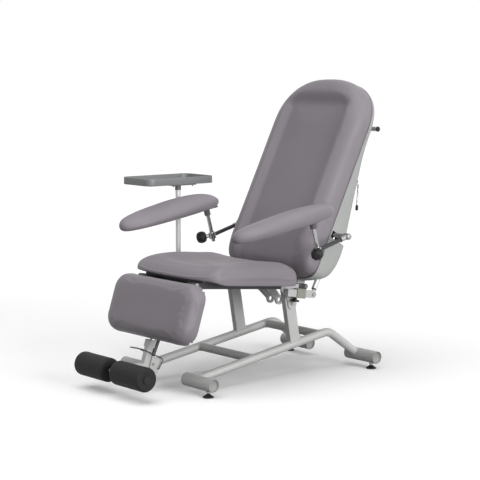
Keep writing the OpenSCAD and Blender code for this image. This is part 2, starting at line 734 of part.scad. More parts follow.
// Rear shell: its depth follows the height, and its rim lies on the board's plane
shell_table_shares = [
    [0, 0], [0.0068, 0.0078], [0.0195, 0.0486], [0.0389, 0.0817], [0.0671, 0.1158],
    [0.1235, 0.144], [0.2072, 0.1576], [0.2967, 0.143], [0.3988, 0.1158], [0.5302, 0.0856],
    [0.6031, 0.0661], [0.6712, 0.0506], [0.7393, 0.0457], [0.8171, 0.0447], [0.9144, 0.0486],
    [1.0311, 0.0486]];
function shell_profile(v) = back_top * lookup(v / back_top, shell_table_shares);
shell_shares = [[0, 0], [0.01, 0.35], [0.035, 0.62], [0.075, 0.8], [0.14, 0.92], [0.24, 0.98], [0.4, 1], [0.62, 1]];
shell_foot = 2;
module shell_solid(wall, lift) {
    half = [back_half_w, back_half_l + back_foot / 2];
    mid = (back_top + shell_foot) / 2;
    line = [for (p = back_outline(60, back_half_w - wall, shell_foot)) [p[0], (p[1] + back_mid - mid) * (1 - wall / half[1])]];
    rows = [for (s = shell_shares) [s[0] * half[0], s[1]]];
    translate([0, -back_plane, mid]) rotate([90, 0, 0]) mirror([0, 0, 1])
        padded(line, half, concat([[0, -lift]], rows), function (x, y, z)
            z < 0 ? 0 : z * (max(shell_foot / 2, shell_share * shell_profile(y + mid) - wall) - 1));
}
module rear_shell() {
    notch = arm_tube_d + 10;
    color("darkseagreen") on_back() difference() {
        shell_solid(0, 0);
        shell_solid(shell_wall, over);
        both() translate([back_half_w - 3 * notch, arm_tube_w - notch / 2, arm_tube_v - notch / 2])
            cube([4 * notch, 4 * notch, notch]);
        translate([spring_x - spring_d * 0.8, spring_d / 2, -over]) cube([1.6 * spring_d, 2 * spring_d, 3.6 * spring_d]);
        translate([lever_x - 1.5 * lever_d, lever_w - lever_d, lever_v - lever_d])
            cube([3 * lever_d, back_w, 3.5 * lever_d]);
        both() translate([push_stub_x, 0, push_bar_v]) bar_y(frame_tube + 2 * side_gap, -side_tube_w, back_w);
        both() translate([hinge_tube_x - frame_tube, -back_plane, -over]) cube([2 * frame_tube + board_t, 3 * frame_tube, 1.5 * frame_tube]);
    }
}
module arm_cross_tube() {
    end = arm_x + knuckle_w / 2 + pin_head_h;
    color("silver") on_back() translate([0, arm_tube_w, arm_tube_v]) difference() {
        bar_x(arm_tube_d, -end, end);
        bar_x(arm_tube_d - 2 * tube_wall, -end - over, end + over);
    }
}
module push_bar() {
    color("silver") on_back() translate([0, push_bar_w, push_bar_v]) bar_x(push_bar_d, -push_bar_x, push_bar_x);
}
module push_bar_caps() {
    color("black") on_back() both() translate([0, push_bar_w, push_bar_v])
        bar_x(push_cap_d, push_bar_x, push_bar_x + push_cap_h);
}
module recline_lever() {
    out = shell_share * shell_profile(lever_v) - back_plane - lever_inset;
    color("silver") on_back() {
        translate([0, lever_w, lever_v]) bar_x(lever_d, hinge_tube_x - rail_half + board_gap / 2, lever_x);
        translate([lever_x, 0, 0]) {
            translate([0, lever_w, lever_v]) sphere(d = lever_d + 1);
            bent_bar([[lever_w, lever_v], [out, lever_v + lever_d], [out + lever_drop * 0.52, lever_v - lever_drop]],
                lever_bend, lever_d);
        }
    }
}

// Recline spring: pivots on its lower anchor, with its upper end free in the shell
spring_low = [hinge_y + anchor_y, hinge_z + anchor_z];
spring_high = [hinge_y + spring_up_v * sin(back_lean) + spring_up_w * cos(back_lean),
    hinge_z + spring_up_v * cos(back_lean) - spring_up_w * sin(back_lean)];
spring_angle = heading(spring_low, spring_high);
spring_span = norm(spring_high - spring_low);
module on_spring() { translate([spring_x, spring_low[0], spring_low[1]]) rotate([spring_angle - 90, 0, 0]) children(); }
module recline_spring_tube() {
    neck = anchor_h * 0.7;
    color("gray") on_spring() difference() {
        union() {
            bar_x(anchor_h - 8, -spring_eye_t / 2, spring_eye_t / 2);
            translate([-spring_eye_t / 2, -spring_rod_d / 2, 0]) cube([spring_eye_t, spring_rod_d, neck]);
            translate([0, 0, neck]) cylinder(d = spring_d, h = spring_tube_length);
        }
        bar_x(spring_pin_d, -spring_d, spring_d);
        translate([0, 0, 2 * neck]) cylinder(r = spring_rod_d / 2 + fit, h = spring_tube_length);
    }
}
module recline_spring_rod() {
    color("silver") on_spring() difference() {
        union() {
            translate([0, 0, spring_span - spring_rod_length])
                cylinder(d = spring_rod_d, h = spring_rod_length - open_eye_d / 2 - open_eye_rim / 2);
            translate([0, 0, spring_span]) bar_x(open_eye_d + 2 * open_eye_rim, -spring_eye_t / 2, spring_eye_t / 2);
        }
        translate([0, 0, spring_span]) bar_x(open_eye_d, -spring_d, spring_d);
    }
}

// Arms: x outward, y to the rear along the bar, z along the stem
module on_arm() {
    on_back() translate([arm_x, arm_tube_w, arm_tube_v]) rotate([back_lean + arm_slope, 0, 0]) children();
}
module arm_bar(s) {
    color("dimgray") only(s) on_arm() bar_y(arm_d, -arm_reach + clamp_d / 2, -knuckle_d / 2);
}
module arm_fittings(s) {
    color("silver") only(s) on_arm() difference() {
        union() {
            bar_x(knuckle_d, -knuckle_w / 2, knuckle_w / 2);
            bar_y(collar_d, -collar_length - knuckle_d / 2, 0);
            translate([0, -arm_reach, -clamp_h / 2]) cylinder(d = clamp_d, h = clamp_h);
            translate([0, -arm_reach, 0]) rotate([0, 0, arm_knob_turn]) bar_y(collar_d * 0.7, -clamp_d / 2 - 4, 0);
        }
        bar_x(arm_tube_d + 2 * fit, -knuckle_w, knuckle_w);
        translate([0, -arm_reach, -clamp_h]) cylinder(r = arm_d / 2 + fit, h = 2 * clamp_h);
        bar_y(arm_d, -arm_reach + clamp_d / 2, -knuckle_d / 2);
        translate([0, -arm_reach, 0]) rotate([0, 0, arm_knob_turn])
            bar_y(arm_screw_d + 2 * fit, -clamp_d, 0);
    }
}
module arm_stem(s) {
    color("silver") only(s) on_arm() translate([0, -arm_reach, -stem_down]) cylinder(d = arm_d, h = stem_down + stem_up);
}
module arm_knob(s) {
    start = arm_d / 2 + rest_gap;
    color("black") only(s) on_arm() translate([0, -arm_reach, 0]) rotate([0, 0, arm_knob_turn])
        rotate([90, 0, 0]) {
            translate([0, 0, start]) cylinder(d = arm_screw_d, h = arm_knob_reach - start);
            translate([0, 0, arm_knob_reach]) difference() {
                sphere(d = arm_knob_d);
                for (i = [0 : knob_lobes - 1]) rotate([0, 0, 360 * i / knob_lobes])
                    translate([arm_knob_d * 0.56, 0, -arm_knob_d]) cylinder(d = arm_knob_d / 6, h = 2 * arm_knob_d);
                for (z = [-1, 1]) translate([-arm_knob_d, -arm_knob_d, z > 0 ? arm_knob_h / 2 : -arm_knob_d - arm_knob_h / 2])
                    cube([2 * arm_knob_d, 2 * arm_knob_d, arm_knob_d]);
            }
        }
}
module on_pad() {
    on_arm() translate([0, -arm_reach, stem_up]) rotate([pad_slope - arm_slope, 0, 0]) children();
}
module pad_plate(s) {
    color("dimgray") only(s) difference() {
        union() {
            on_pad() translate([0, -pad_plate_length / 4, pad_screw_h]) linear_extrude(pad_plate_t)
                round_rect(pad_plate_w, pad_plate_length, plate_corner);
            on_arm() translate([0, -arm_reach, stem_up - pad_socket_h]) cylinder(d = pad_socket_d, h = pad_socket_h + pad_screw_h);
            on_pad() for (y = [-1, 1]) translate([0, -pad_plate_length / 4 + y * pad_plate_length * 0.42, 0])
                cylinder(d = pad_screw_d, h = pad_screw_h);
        }
        on_arm() translate([0, -arm_reach, -stem_up]) cylinder(r = arm_d / 2 + fit, h = 2 * stem_up + rest_gap);
    }
}
module arm_pad(s) {
    half = [pad_w / 2, pad_length / 2];
    t = pad_t;
    rear = s > 0 ? left_pad_back : right_pad_back;
    color("thistle") only(s) on_pad()
        translate([0, -half[1] + rear, pad_screw_h + pad_plate_t + rest_gap])
            padded(super_oval(half[0], half[1], 2.35, 48), half,
                [[0.3 * t, 0], [0.12 * t, 0.08 * t], [0.02 * t, 0.26 * t], [0, 0.42 * t], [0.05 * t, 0.64 * t],
                 [0.2 * t, 0.83 * t], [0.5 * t, 0.95 * t], [0.95 * t, t]], function (x, y, z) 0);
}
module left_arm_bar() { arm_bar(1); }
module left_arm_fittings() { arm_fittings(1); }
module left_arm_stem() { arm_stem(1); }
module left_pad_plate() { pad_plate(1); }
module left_arm_pad() { arm_pad(1); }
module left_arm_knob() { arm_knob(1); }
module right_arm_bar() { arm_bar(-1); }
module right_arm_fittings() { arm_fittings(-1); }
module right_arm_stem() { arm_stem(-1); }
module right_pad_plate() { pad_plate(-1); }
module right_arm_pad() { arm_pad(-1); }
module right_arm_knob() { arm_knob(-1); }

// Leg rest: x across, y to the rear, z up along the leg
module leg_hinge_blocks() {
    color("black") on_leg() difference() {
        both() translate([leg_block_x, 0, 0]) rotate([90, 0, 90]) linear_extrude(leg_block_t) {
            circle(d = leg_boss_d);
            polygon([[0, -leg_boss_d / 2], [0, -3 * frame_tube], [frame_tube, -3 * frame_tube],
                [frame_tube, -frame_tube], [leg_boss_d / 2, 0], [0, 0]]);
        }
        bar_x(pin_d + 2 * fit, -seat_rail_x, seat_rail_x);
    }
}
module leg_frame() {
    inner = leg_side_x - rail_half;
    low = leg_length - 2 * frame_tube;
    color("silver") on_leg() {
        both() translate([leg_side_x, rail_half, -low]) box_tube(frame_tube, frame_tube, low - frame_tube);
        for (u = [3 * frame_tube, low]) translate([-inner, 0, -u]) cube([2 * inner, leg_bar_t, frame_tube]);
    }
}
module leg_board() {
    w = leg_w - 4 * board_t;
    color("burlywood") on_leg() translate([-w / 2, -board_t, -leg_length + 2 * board_t])
        cube([w, board_t, leg_length - 4 * board_t]);
}
module leg_cushion() {
    half = [leg_w / 2, leg_length / 2];
    t = leg_t;
    color("thistle") on_leg() translate([0, -board_t - rest_gap, -half[1]]) rotate([90, 0, 0])
        padded(soft_rect(half[0], half[1], leg_corner, 8, 5), half,
            [[0.04 * t, 0], [0.005 * t, 0.07 * t], [0, 0.25 * t], [0.02 * t, 0.5 * t], [0.1 * t, 0.72 * t],
             [0.26 * t, 0.88 * t], [0.55 * t, 0.97 * t], [1 * t, t]], function (x, y, z) 0);
}
module foot_tube() {
    low = leg_length - 2 * frame_tube;
    top = leg_length + shin_gap;
    back = shin_axis + shin_w / 2;
    color("silver") on_leg() {
        translate([0, shin_axis, -shin_length - foot_arm_h / 2])
            box_tube(shin_w, shin_w, shin_length + foot_arm_h / 2 - top);
        both() translate([shin_w / 2, 0, 0]) rotate([90, 0, 90]) linear_extrude(cheek_t)
            polygon([[back - shin_w, -top], [0, -leg_length - side_gap], [0, -low], [leg_bar_t, -low],
                [leg_bar_t, -low - frame_tube], [back, -top - cheek_drop], [back - shin_w, -top - cheek_drop]]);
        difference() {
            translate([0, shin_axis, -shin_length]) rotate([leg_lean, 0, 0]) union() {
                translate([-foot_arm_w / 2, -foot_reach, -foot_arm_h / 2]) cube([foot_arm_w, foot_reach, foot_arm_h]);
                translate([0, -foot_reach, 0]) bar_x(foot_arm_h, -foot_arm_w / 2, foot_arm_w / 2);
            }
            translate([-foot_arm_w, shin_axis - shin_w / 2, -2 * shin_length]) cube([2 * foot_arm_w, foot_reach, 2 * shin_length]);
            on_axle() bar_x(axle_d, -foot_arm_w, foot_arm_w);
        }
    }
}
module on_axle() { translate([0, shin_axis, -shin_length]) rotate([leg_lean, 0, 0]) translate([0, -foot_reach, 0]) children(); }
module foot_axle() {
    end = roller_in_x + roller_length;
    color("silver") on_leg() on_axle() {
        bar_x(axle_d, -end, end);
        both() bar_x(axle_d * 2, end + side_gap, end + side_gap + cap_t);
        both() bar_x(axle_d, end, end + side_gap);
    }
    leg_spring_pins();
}
module foot_roller(s) {
    r = roller_d / 2;
    color("black") only(s) on_leg() on_axle() translate([roller_in_x, 0, 0]) rotate([0, 90, 0]) rotate_extrude()
        polygon(concat([[axle_d / 2 + fit, 0], [r - roller_edge, 0]],
            [for (a = [-90 : 15 : 0]) [r - roller_edge + roller_edge * cos(a), roller_edge + roller_edge * sin(a)]],
            [for (a = [0 : 15 : 90]) [r - roller_edge + roller_edge * cos(a), roller_length - roller_edge + roller_edge * sin(a)]],
            [[axle_d / 2 + fit, roller_length]]));
}
module left_foot_roller() { foot_roller(1); }
module right_foot_roller() { foot_roller(-1); }
module leg_spring_bracket() {
    back = shin_axis + shin_w / 2;
    color("lightgray") on_leg() difference() {
        translate([-bracket_w / 2, back, -leg_spring_low - bracket_h / 2]) cube([bracket_w, bracket_d, bracket_h]);
        translate([-bracket_w / 2 + bracket_wall, back + bracket_wall, -leg_spring_low - bracket_h])
            cube([bracket_w - 2 * bracket_wall, bracket_d, 2 * bracket_h]);
        translate([0, leg_spring_w, -leg_spring_low]) bar_x(spring_pin_d, -bracket_w, bracket_w);
        translate([0, bail_pivot[0], bail_pivot[1]]) bar_x(bail_d + 2 * fit, -bracket_w, bracket_w);
    }
}
module leg_spring_pins() {
    color("silver") on_leg() translate([0, leg_spring_w, -leg_spring_low]) {
        bar_x(spring_pin_d, -bracket_w / 2, bracket_w / 2);
        both() bar_x(bolt_head_d - cap_t, bracket_w / 2, bracket_w / 2 + cap_t);
    }
}
module leg_spring_ears() {
    color("gray") on_seat() difference() {
        union() {
            both() translate([ear_x - 2 * ear_t, 0, 0]) rotate([90, 0, 90]) linear_extrude(bail_d) {
                translate([leg_spring_up_y, leg_spring_up_z]) circle(d = 3 * spring_pin_d);
                polygon([[leg_spring_up_y - spring_pin_d, leg_spring_up_z - spring_pin_d],
                    [leg_spring_up_y - spring_pin_d, leg_spring_up_z + spring_pin_d],
                    [-front_bar_y - rail_half, -rail_half + side_gap], [-front_bar_y - rail_half, -rail_half],
                    [-front_bar_y, -rail_half], [-front_bar_y + spring_pin_d, -rail_half],
                    [leg_spring_up_y + spring_pin_d, leg_spring_up_z - spring_pin_d]]);
            }
            translate([0, leg_spring_up_y, leg_spring_up_z]) bar_x(spring_pin_d, -ear_x + 2 * ear_t, ear_x - 2 * ear_t);
        }
        translate([-seat_w, -front_bar_y - rail_half, -rail_half]) cube([2 * seat_w, frame_tube, frame_tube]);
    }
}
leg_pivot = [hinge_y + leg_pivot_y * cos(seat_tilt) + leg_pivot_n * sin(seat_tilt),
    hinge_z - leg_pivot_y * sin(seat_tilt) + leg_pivot_n * cos(seat_tilt)];
leg_low = [leg_pivot[0] + leg_spring_w * cos(leg_lean) - leg_spring_low * sin(leg_lean),
    leg_pivot[1] - leg_spring_w * sin(leg_lean) - leg_spring_low * cos(leg_lean)];
leg_high = [hinge_y + leg_spring_up_y * cos(seat_tilt) + leg_spring_up_z * sin(seat_tilt),
    hinge_z - leg_spring_up_y * sin(seat_tilt) + leg_spring_up_z * cos(seat_tilt)];
leg_spring_angle = heading(leg_low, leg_high);
leg_spring_span = norm(leg_high - leg_low);
module on_leg_spring() { translate([0, leg_low[0], leg_low[1]]) rotate([leg_spring_angle - 90, 0, 0]) children(); }
module leg_spring_tube() {
    color("black") on_leg_spring() difference() {
        union() {
            bar_x(leg_spring_d, -leg_rod_d, leg_rod_d);
            translate([0, 0, leg_spring_d / 3]) cylinder(d = leg_spring_d, h = leg_tube_length);
        }
        bar_x(spring_pin_d + 2 * fit, -leg_spring_d, leg_spring_d);
        translate([0, 0, 2 * leg_spring_d]) cylinder(r = leg_rod_d / 2 + fit, h = leg_tube_length);
    }
}
module leg_spring_rod() {
    color("silver") on_leg_spring() difference() {
        union() {
            translate([0, 0, leg_rod_foot])
                cylinder(d = leg_rod_d, h = leg_spring_span - leg_rod_foot - leg_eye_d / 2 - open_eye_rim / 2);
            translate([0, 0, leg_spring_span]) bar_x(leg_eye_d + 2 * open_eye_rim, -leg_rod_d / 2, leg_rod_d / 2);
        }
        translate([0, 0, leg_spring_span]) bar_x(leg_eye_d, -leg_spring_d, leg_spring_d);
    }
}
module leg_release_bail() {
    n = len(bail_path);
    from = bail_path[0];
    along = bail_path[n - 1] - from;
    color("dimgray") on_leg() {
        both() {
            translate([0, from[0], from[1]]) bar_x(bail_d, bracket_w / 2 - bracket_wall, bail_x);
            translate([bail_x, from[0], from[1]])
                rotate([0, 0, -asin((bail_x - bail_tip_x) / abs(along[0]))]) {
                    bent_bar([for (q = bail_path) q - from], 2 * bail_d, bail_d);
                    for (q = [[0, 0], along]) translate([0, q[0], q[1]]) sphere(d = bail_d + 1);
                }
        }
        translate([0, bail_path[n - 1][0], bail_path[n - 1][1]]) bar_x(bail_d, -bail_tip_x, bail_tip_x);
    }
}

side_rails();
front_cross_tube();
rear_cross_tube();
front_foot_tubes();
rear_foot_tubes();
foot_tube_caps();
uprights();
seat_side_rails();
seat_crossbars();
seat_lugs();
frame_bolts();
actuator_clevis();
seat_board();
seat_cushion();
spring_anchor_bar();
anchor_sleeve();
anchor_knob();
tray_socket();
left_front_leveller();
right_front_leveller();
left_rear_leveller();
right_rear_leveller();
tray_post();
tray_plate();
tray();
tray_knob();
back_frame();
back_board();
back_cushion();
rear_shell();
arm_cross_tube();
push_bar();
push_bar_caps();
recline_lever();
recline_spring_tube();
recline_spring_rod();
left_arm_bar();
left_arm_fittings();
left_arm_stem();
left_pad_plate();
left_arm_pad();
left_arm_knob();
right_arm_bar();
right_arm_fittings();
right_arm_stem();
right_pad_plate();
right_arm_pad();
right_arm_knob();
leg_frame();
leg_board();
leg_cushion();
foot_tube();
foot_axle();
leg_spring_bracket();
leg_release_bail();
leg_spring_tube();
leg_spring_rod();
left_foot_roller();
right_foot_roller();
leg_hinge_blocks();
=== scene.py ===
import json
import math

import bmesh
import bpy
import numpy as np
from mathutils import Matrix, Vector


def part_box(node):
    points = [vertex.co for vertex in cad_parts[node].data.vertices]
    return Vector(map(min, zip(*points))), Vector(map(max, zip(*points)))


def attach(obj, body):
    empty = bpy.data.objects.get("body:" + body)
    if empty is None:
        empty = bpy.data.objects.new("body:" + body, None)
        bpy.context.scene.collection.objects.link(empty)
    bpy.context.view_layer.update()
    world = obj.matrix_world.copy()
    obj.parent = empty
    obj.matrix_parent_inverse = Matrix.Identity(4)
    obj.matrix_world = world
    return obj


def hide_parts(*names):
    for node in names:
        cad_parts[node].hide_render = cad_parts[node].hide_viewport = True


# Phlebotomy chair. Metres, +Z up, the chair faces -Y, +X is the sitter's left.
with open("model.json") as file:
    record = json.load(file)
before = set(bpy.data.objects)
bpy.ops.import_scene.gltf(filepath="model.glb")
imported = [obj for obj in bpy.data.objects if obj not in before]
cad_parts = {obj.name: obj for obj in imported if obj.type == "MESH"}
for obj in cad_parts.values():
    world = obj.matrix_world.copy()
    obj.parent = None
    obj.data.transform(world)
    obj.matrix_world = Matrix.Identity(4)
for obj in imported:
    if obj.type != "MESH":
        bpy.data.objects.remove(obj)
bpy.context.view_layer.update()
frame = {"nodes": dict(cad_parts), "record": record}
print("frame loaded:", len(frame["nodes"]), "nodes")

# where the seat, the back, the leg rest and the arms lie, as in the CAD part
chair = {
    "hinge": (0.150, 0.422), "seatTilt": 5.5, "seatLength": 0.650, "legPivotUp": 0.005,
    "backLean": 26.6, "backPlane": 0.048, "legLean": 18, "boardT": 0.012, "tubeHalf": 0.0125,
    "armX": 0.387, "armTubeW": -0.024, "armTubeV": 0.261, "armSlope": 15.5, "armReach": 0.185,
    "stemUp": 0.132, "padSlope": 9.5, "cushionGap": 0.0005,
}
tiny = 1e-6  # points closer than this are one point


def turnX(degrees):
    return Matrix.Rotation(math.radians(degrees), 4, "X")


def turnY(degrees):
    return Matrix.Rotation(math.radians(degrees), 4, "Y")


def turnZ(degrees):
    return Matrix.Rotation(math.radians(degrees), 4, "Z")


def shift(x, y, z):
    return Matrix.Translation((x, y, z))


hingePlace = shift(0, *chair["hinge"])
seatPlace = hingePlace @ turnX(-chair["seatTilt"])
backPlace = hingePlace @ turnX(-chair["backLean"])
legPlace = (seatPlace @ shift(0, -chair["seatLength"], chair["legPivotUp"])
            @ turnX(chair["seatTilt"] - chair["legLean"]))
armPlace = (backPlace @ shift(chair["armX"], chair["armTubeW"], chair["armTubeV"])
            @ turnX(chair["backLean"] + chair["armSlope"]))
padPlace = (armPlace @ shift(0, -chair["armReach"], chair["stemUp"])
            @ turnX(chair["padSlope"] - chair["armSlope"]))
sides = {"left": Matrix.Identity(4), "right": Matrix.Scale(-1, 4, (1, 0, 0))}

# what a finish has unless it says otherwise: how its colour varies, its patches and smudges, its relief
usual = {
    "vary": 0.03, "patch": 7, "patchDetail": 4, "smudge": 22, "smudgeDetail": 5, "ramp": (0.3, 0.7),
    "strength": 0.4, "reliefDetail": 2, "brushed": (1, 1, 0.06),
}
sockets = {"metal": "Metallic", "shine": "Specular IOR Level", "sheen": "Sheen Weight",
           "sheenRough": "Sheen Roughness"}


# noise on Object coordinates breaks up the colour and the roughness, and a fine relief lies over both
def newMaterial(name, settings):
    s = {**usual, **settings}
    material = bpy.data.materials.new(name)
    material.use_nodes = True
    nodes, links = material.node_tree.nodes, material.node_tree.links
    shader = nodes["Principled BSDF"]
    for key in sockets.keys() & s.keys():
        shader.inputs[sockets[key]].default_value = s[key]
    coords = nodes.new("ShaderNodeTexCoord")

    def noise(scale, detail, stretch=None):
        texture = nodes.new("ShaderNodeTexNoise")
        texture.inputs["Scale"].default_value = scale
        texture.inputs["Detail"].default_value = detail
        source = coords.outputs["Object"]
        if stretch:
            mapping = nodes.new("ShaderNodeMapping")
            mapping.inputs["Scale"].default_value = stretch
            links.new(source, mapping.inputs["Vector"])
            source = mapping.outputs["Vector"]
        links.new(source, texture.inputs["Vector"])
        return texture.outputs["Fac"]

    def ramp(source, low, high):
        blend = nodes.new("ShaderNodeValToRGB")
        for element, position, tone in zip(blend.color_ramp.elements, s["ramp"], (low, high)):
            element.position = position
            element.color = (*tone, 1)
        links.new(source, blend.inputs["Fac"])
        return blend.outputs["Color"]

    colour, vary = s["colour"], s["vary"]
    patches = noise(s["patch"], s["patchDetail"])
    links.new(ramp(patches, [c * (1 - vary) for c in colour], [c * (1 + vary) for c in colour]),
              shader.inputs["Base Color"])
    low, high = s["roughness"]
    smudges = noise(s["smudge"], s["smudgeDetail"])
    links.new(ramp(smudges, [low] * 3, [high] * 3), shader.inputs["Roughness"])
    height = None
    for kind, scale, depth in s["relief"]:
        if kind == "pebble":
            texture = nodes.new("ShaderNodeTexVoronoi")
            texture.feature = "SMOOTH_F1"
            texture.inputs["Scale"].default_value = scale
            links.new(coords.outputs["Object"], texture.inputs["Vector"])
            source = texture.outputs["Distance"]
        else:
            source = noise(scale, s["reliefDetail"], s["brushed"] if kind == "brushed" else None)
        bump = nodes.new("ShaderNodeBump")
        bump.inputs["Strength"].default_value = s["strength"]
        bump.inputs["Distance"].default_value = depth
        links.new(source, bump.inputs["Height"])
        if height:
            links.new(height, bump.inputs["Normal"])
        height = bump.outputs["Normal"]
    links.new(height, shader.inputs["Normal"])
    return material


finishes = {
    "vinyl": {"colour": (0.208, 0.19, 0.21), "patch": 5, "roughness": (0.44, 0.54), "smudge": 9,
        "relief": [("pebble", 750, 0.00012), ("noise", 60, 0.0004)], "strength": 0.35,
        "shine": 0.25, "sheen": 0.05, "sheenRough": 0.5},
    "frame_paint": {"colour": (0.43, 0.43, 0.425), "roughness": (0.42, 0.52), "smudge": 14,
        "relief": [("noise", 1400, 0.00006)], "metal": 0.1, "shine": 0.35},
    "dark_paint": {"colour": (0.045, 0.045, 0.05), "vary": 0.1, "roughness": (0.34, 0.44),
        "relief": [("noise", 1400, 0.00006)], "shine": 0.3},
    "chrome": {"colour": (0.42, 0.42, 0.42), "roughness": (0.14, 0.22), "smudge": 60,
        "relief": [("brushed", 900, 0.00002)], "strength": 0.3, "metal": 1.0},
    "zinc": {"colour": (0.34, 0.34, 0.34), "vary": 0.1, "patch": 60, "roughness": (0.3, 0.42), "smudge": 120,
        "relief": [("noise", 900, 0.00004)], "metal": 1.0},
    "spring_paint": {"colour": (0.02, 0.02, 0.022), "vary": 0.08, "roughness": (0.24, 0.32), "smudge": 40,
        "relief": [("noise", 500, 0.00003)], "strength": 0.3, "shine": 0.35},
    "satin_post": {"colour": (0.56, 0.56, 0.56), "roughness": (0.34, 0.42), "smudge": 30,
        "relief": [("brushed", 900, 0.00002)], "strength": 0.3, "metal": 0.4},
    "dark_plate": {"colour": (0.11, 0.105, 0.112), "vary": 0.04, "roughness": (0.44, 0.54), "smudge": 30,
        "relief": [("noise", 1200, 0.00005)], "strength": 0.3, "shine": 0.3},
    "cap_plastic": {"colour": (0.26, 0.26, 0.255), "roughness": (0.45, 0.55),
        "relief": [("pebble", 1500, 0.00004)], "strength": 0.3, "shine": 0.45},
    "sleeve_plastic": {"colour": (0.23, 0.24, 0.2), "vary": 0.05, "roughness": (0.5, 0.6),
        "relief": [("pebble", 1500, 0.00005)], "shine": 0.4},
    "black_plastic": {"colour": (0.012, 0.012, 0.013), "vary": 0.1, "roughness": (0.36, 0.46), "smudge": 60,
        "relief": [("pebble", 1800, 0.00005)], "shine": 0.25},
    "plywood": {"colour": (0.105, 0.097, 0.106), "vary": 0.05, "patch": 30, "roughness": (0.6, 0.7),
        "relief": [("pebble", 750, 0.0001)], "shine": 0.3},
    "shell_plastic": {"colour": (0.33, 0.343, 0.331), "vary": 0.025, "roughness": (0.42, 0.5), "smudge": 10,
        "relief": [("pebble", 900, 0.00007)], "shine": 0.45},
    "tray_plastic": {"colour": (0.165, 0.173, 0.173), "roughness": (0.38, 0.46), "smudge": 18,
        "relief": [("pebble", 1100, 0.00006)], "shine": 0.5},
    "foam": {"colour": (0.014, 0.014, 0.015), "vary": 0.12, "patch": 80, "roughness": (0.6, 0.72),
        "smudge": 90, "relief": [("pebble", 700, 0.00018), ("noise", 140, 0.0002)], "strength": 0.6,
        "shine": 0.2},
}
materials = {slot: newMaterial(slot, settings) for slot, settings in finishes.items()}
# every CAD node has the look of its slot, but for these six
lookOf = {row["node"]: row["material_slot"] for row in frame["record"]["subparts"]}
lookOf.update({"tray_post": "satin_post", "push_bar": "satin_post", "recline_spring_tube": "satin_post",
               "tray_plate": "dark_plate", "left_pad_plate": "dark_plate", "right_pad_plate": "dark_plate"})
for nodeName, node in frame["nodes"].items():
    node.data.materials.clear()
    node.data.materials.append(materials[lookOf[nodeName]])
print("materials:", len(materials))


def newObject(name, data):
    made = bpy.data.objects.new(name, data)
    bpy.context.scene.collection.objects.link(made)
    return made


# turn a bmesh into a piece that rides on a body
def finishPiece(name, bm, slot, body, replaces=(), smooth=True):
    mesh = bpy.data.meshes.new(name)
    bm.to_mesh(mesh)
    bm.free()
    for face in mesh.polygons:
        face.use_smooth = smooth
    piece = newObject(name, mesh)
    mesh.materials.append(materials[slot])
    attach(piece, body)
    if replaces:
        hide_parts(*replaces)
    return piece


# round the edges that are sharper than an angle
def bevelEdges(bm, width, segments=3, angle=30):
    sharp = [e for e in bm.edges if len(e.link_faces) == 2 and e.calc_face_angle() > math.radians(angle)]
    bmesh.ops.bevel(bm, geom=sharp, offset=width, offset_type="OFFSET", segments=segments, profile=0.5,
                    affect="EDGES", clamp_overlap=True, material=-1)


# a lathe: turns a line of radius and height round the local Z, then puts it in place
def turned(bm, points, place, steps):
    part = bmesh.new()
    verts = [part.verts.new((radius, 0, height)) for radius, height in points]
    edges = [part.edges.new(pair) for pair in zip(verts, verts[1:])]
    bmesh.ops.spin(part, geom=verts + edges, cent=(0, 0, 0), axis=(0, 0, 1), angle=math.tau, steps=steps,
                   use_merge=True)
    bmesh.ops.remove_doubles(part, verts=part.verts, dist=tiny)
    addPart(bm, part, place)


# moves a bmesh into place and turns its faces outward
def putDown(bm, place):
    bmesh.ops.transform(bm, matrix=place, verts=bm.verts)
    bmesh.ops.recalc_face_normals(bm, faces=bm.faces)


# puts a part in place and adds it to a bigger bmesh
def addPart(bm, part, place):
    putDown(part, place)
    mesh = bpy.data.meshes.new("part")
    part.to_mesh(mesh)
    part.free()
    bm.from_mesh(mesh)
    bpy.data.meshes.remove(mesh)


# a round rod or bead along a line of points, thicker or thinner by the shares in radii
def rodAlong(bm, points, radius, place, sides, closed=False, radii=None):
    curve = bpy.data.curves.new("rod", "CURVE")
    curve.dimensions = "3D"
    curve.bevel_depth = radius
    curve.bevel_resolution = sides
    curve.use_fill_caps = not closed
    spline = curve.splines.new("POLY")
    spline.points.add(len(points) - 1)
    for i, point in enumerate(points):
        spline.points[i].co = (*point, 1)
        spline.points[i].radius = radii[i] if radii else 1
    spline.use_cyclic_u = closed
    holder = newObject("rod", curve)
    mesh = bpy.data.meshes.new_from_object(holder.evaluated_get(bpy.context.evaluated_depsgraph_get()))
    bpy.data.objects.remove(holder)
    part = bmesh.new()
    part.from_mesh(mesh)
    bpy.data.meshes.remove(mesh)
    bmesh.ops.remove_doubles(part, verts=part.verts, dist=tiny)
    addPart(bm, part, place)


# a hexagonal nut or bolt head with broken corners, standing on the local Z
def hexHead(bm, across, height, place, soft=0.0006):
    part = bmesh.new()
    corner = across / 1.732  # from the width across the flats
    bmesh.ops.create_cone(part, cap_ends=True, segments=6, radius1=corner, radius2=corner, depth=height)
    bmesh.ops.translate(part, verts=part.verts, vec=(0, 0, height / 2))
    bevelEdges(part, soft, 2)
    addPart(bm, part, place)


# the lathe line of a head with a soft top: radius, height and the rounding of its edge
def domeLine(radius, height, edge, steps=6):
    arc = np.radians(np.linspace(0, 90, steps))
    bend = [(radius - edge + edge * math.cos(a), height - edge + edge * math.sin(a)) for a in arc]
    return [(0, 0), (radius, 0)] + bend + [(0, height)]


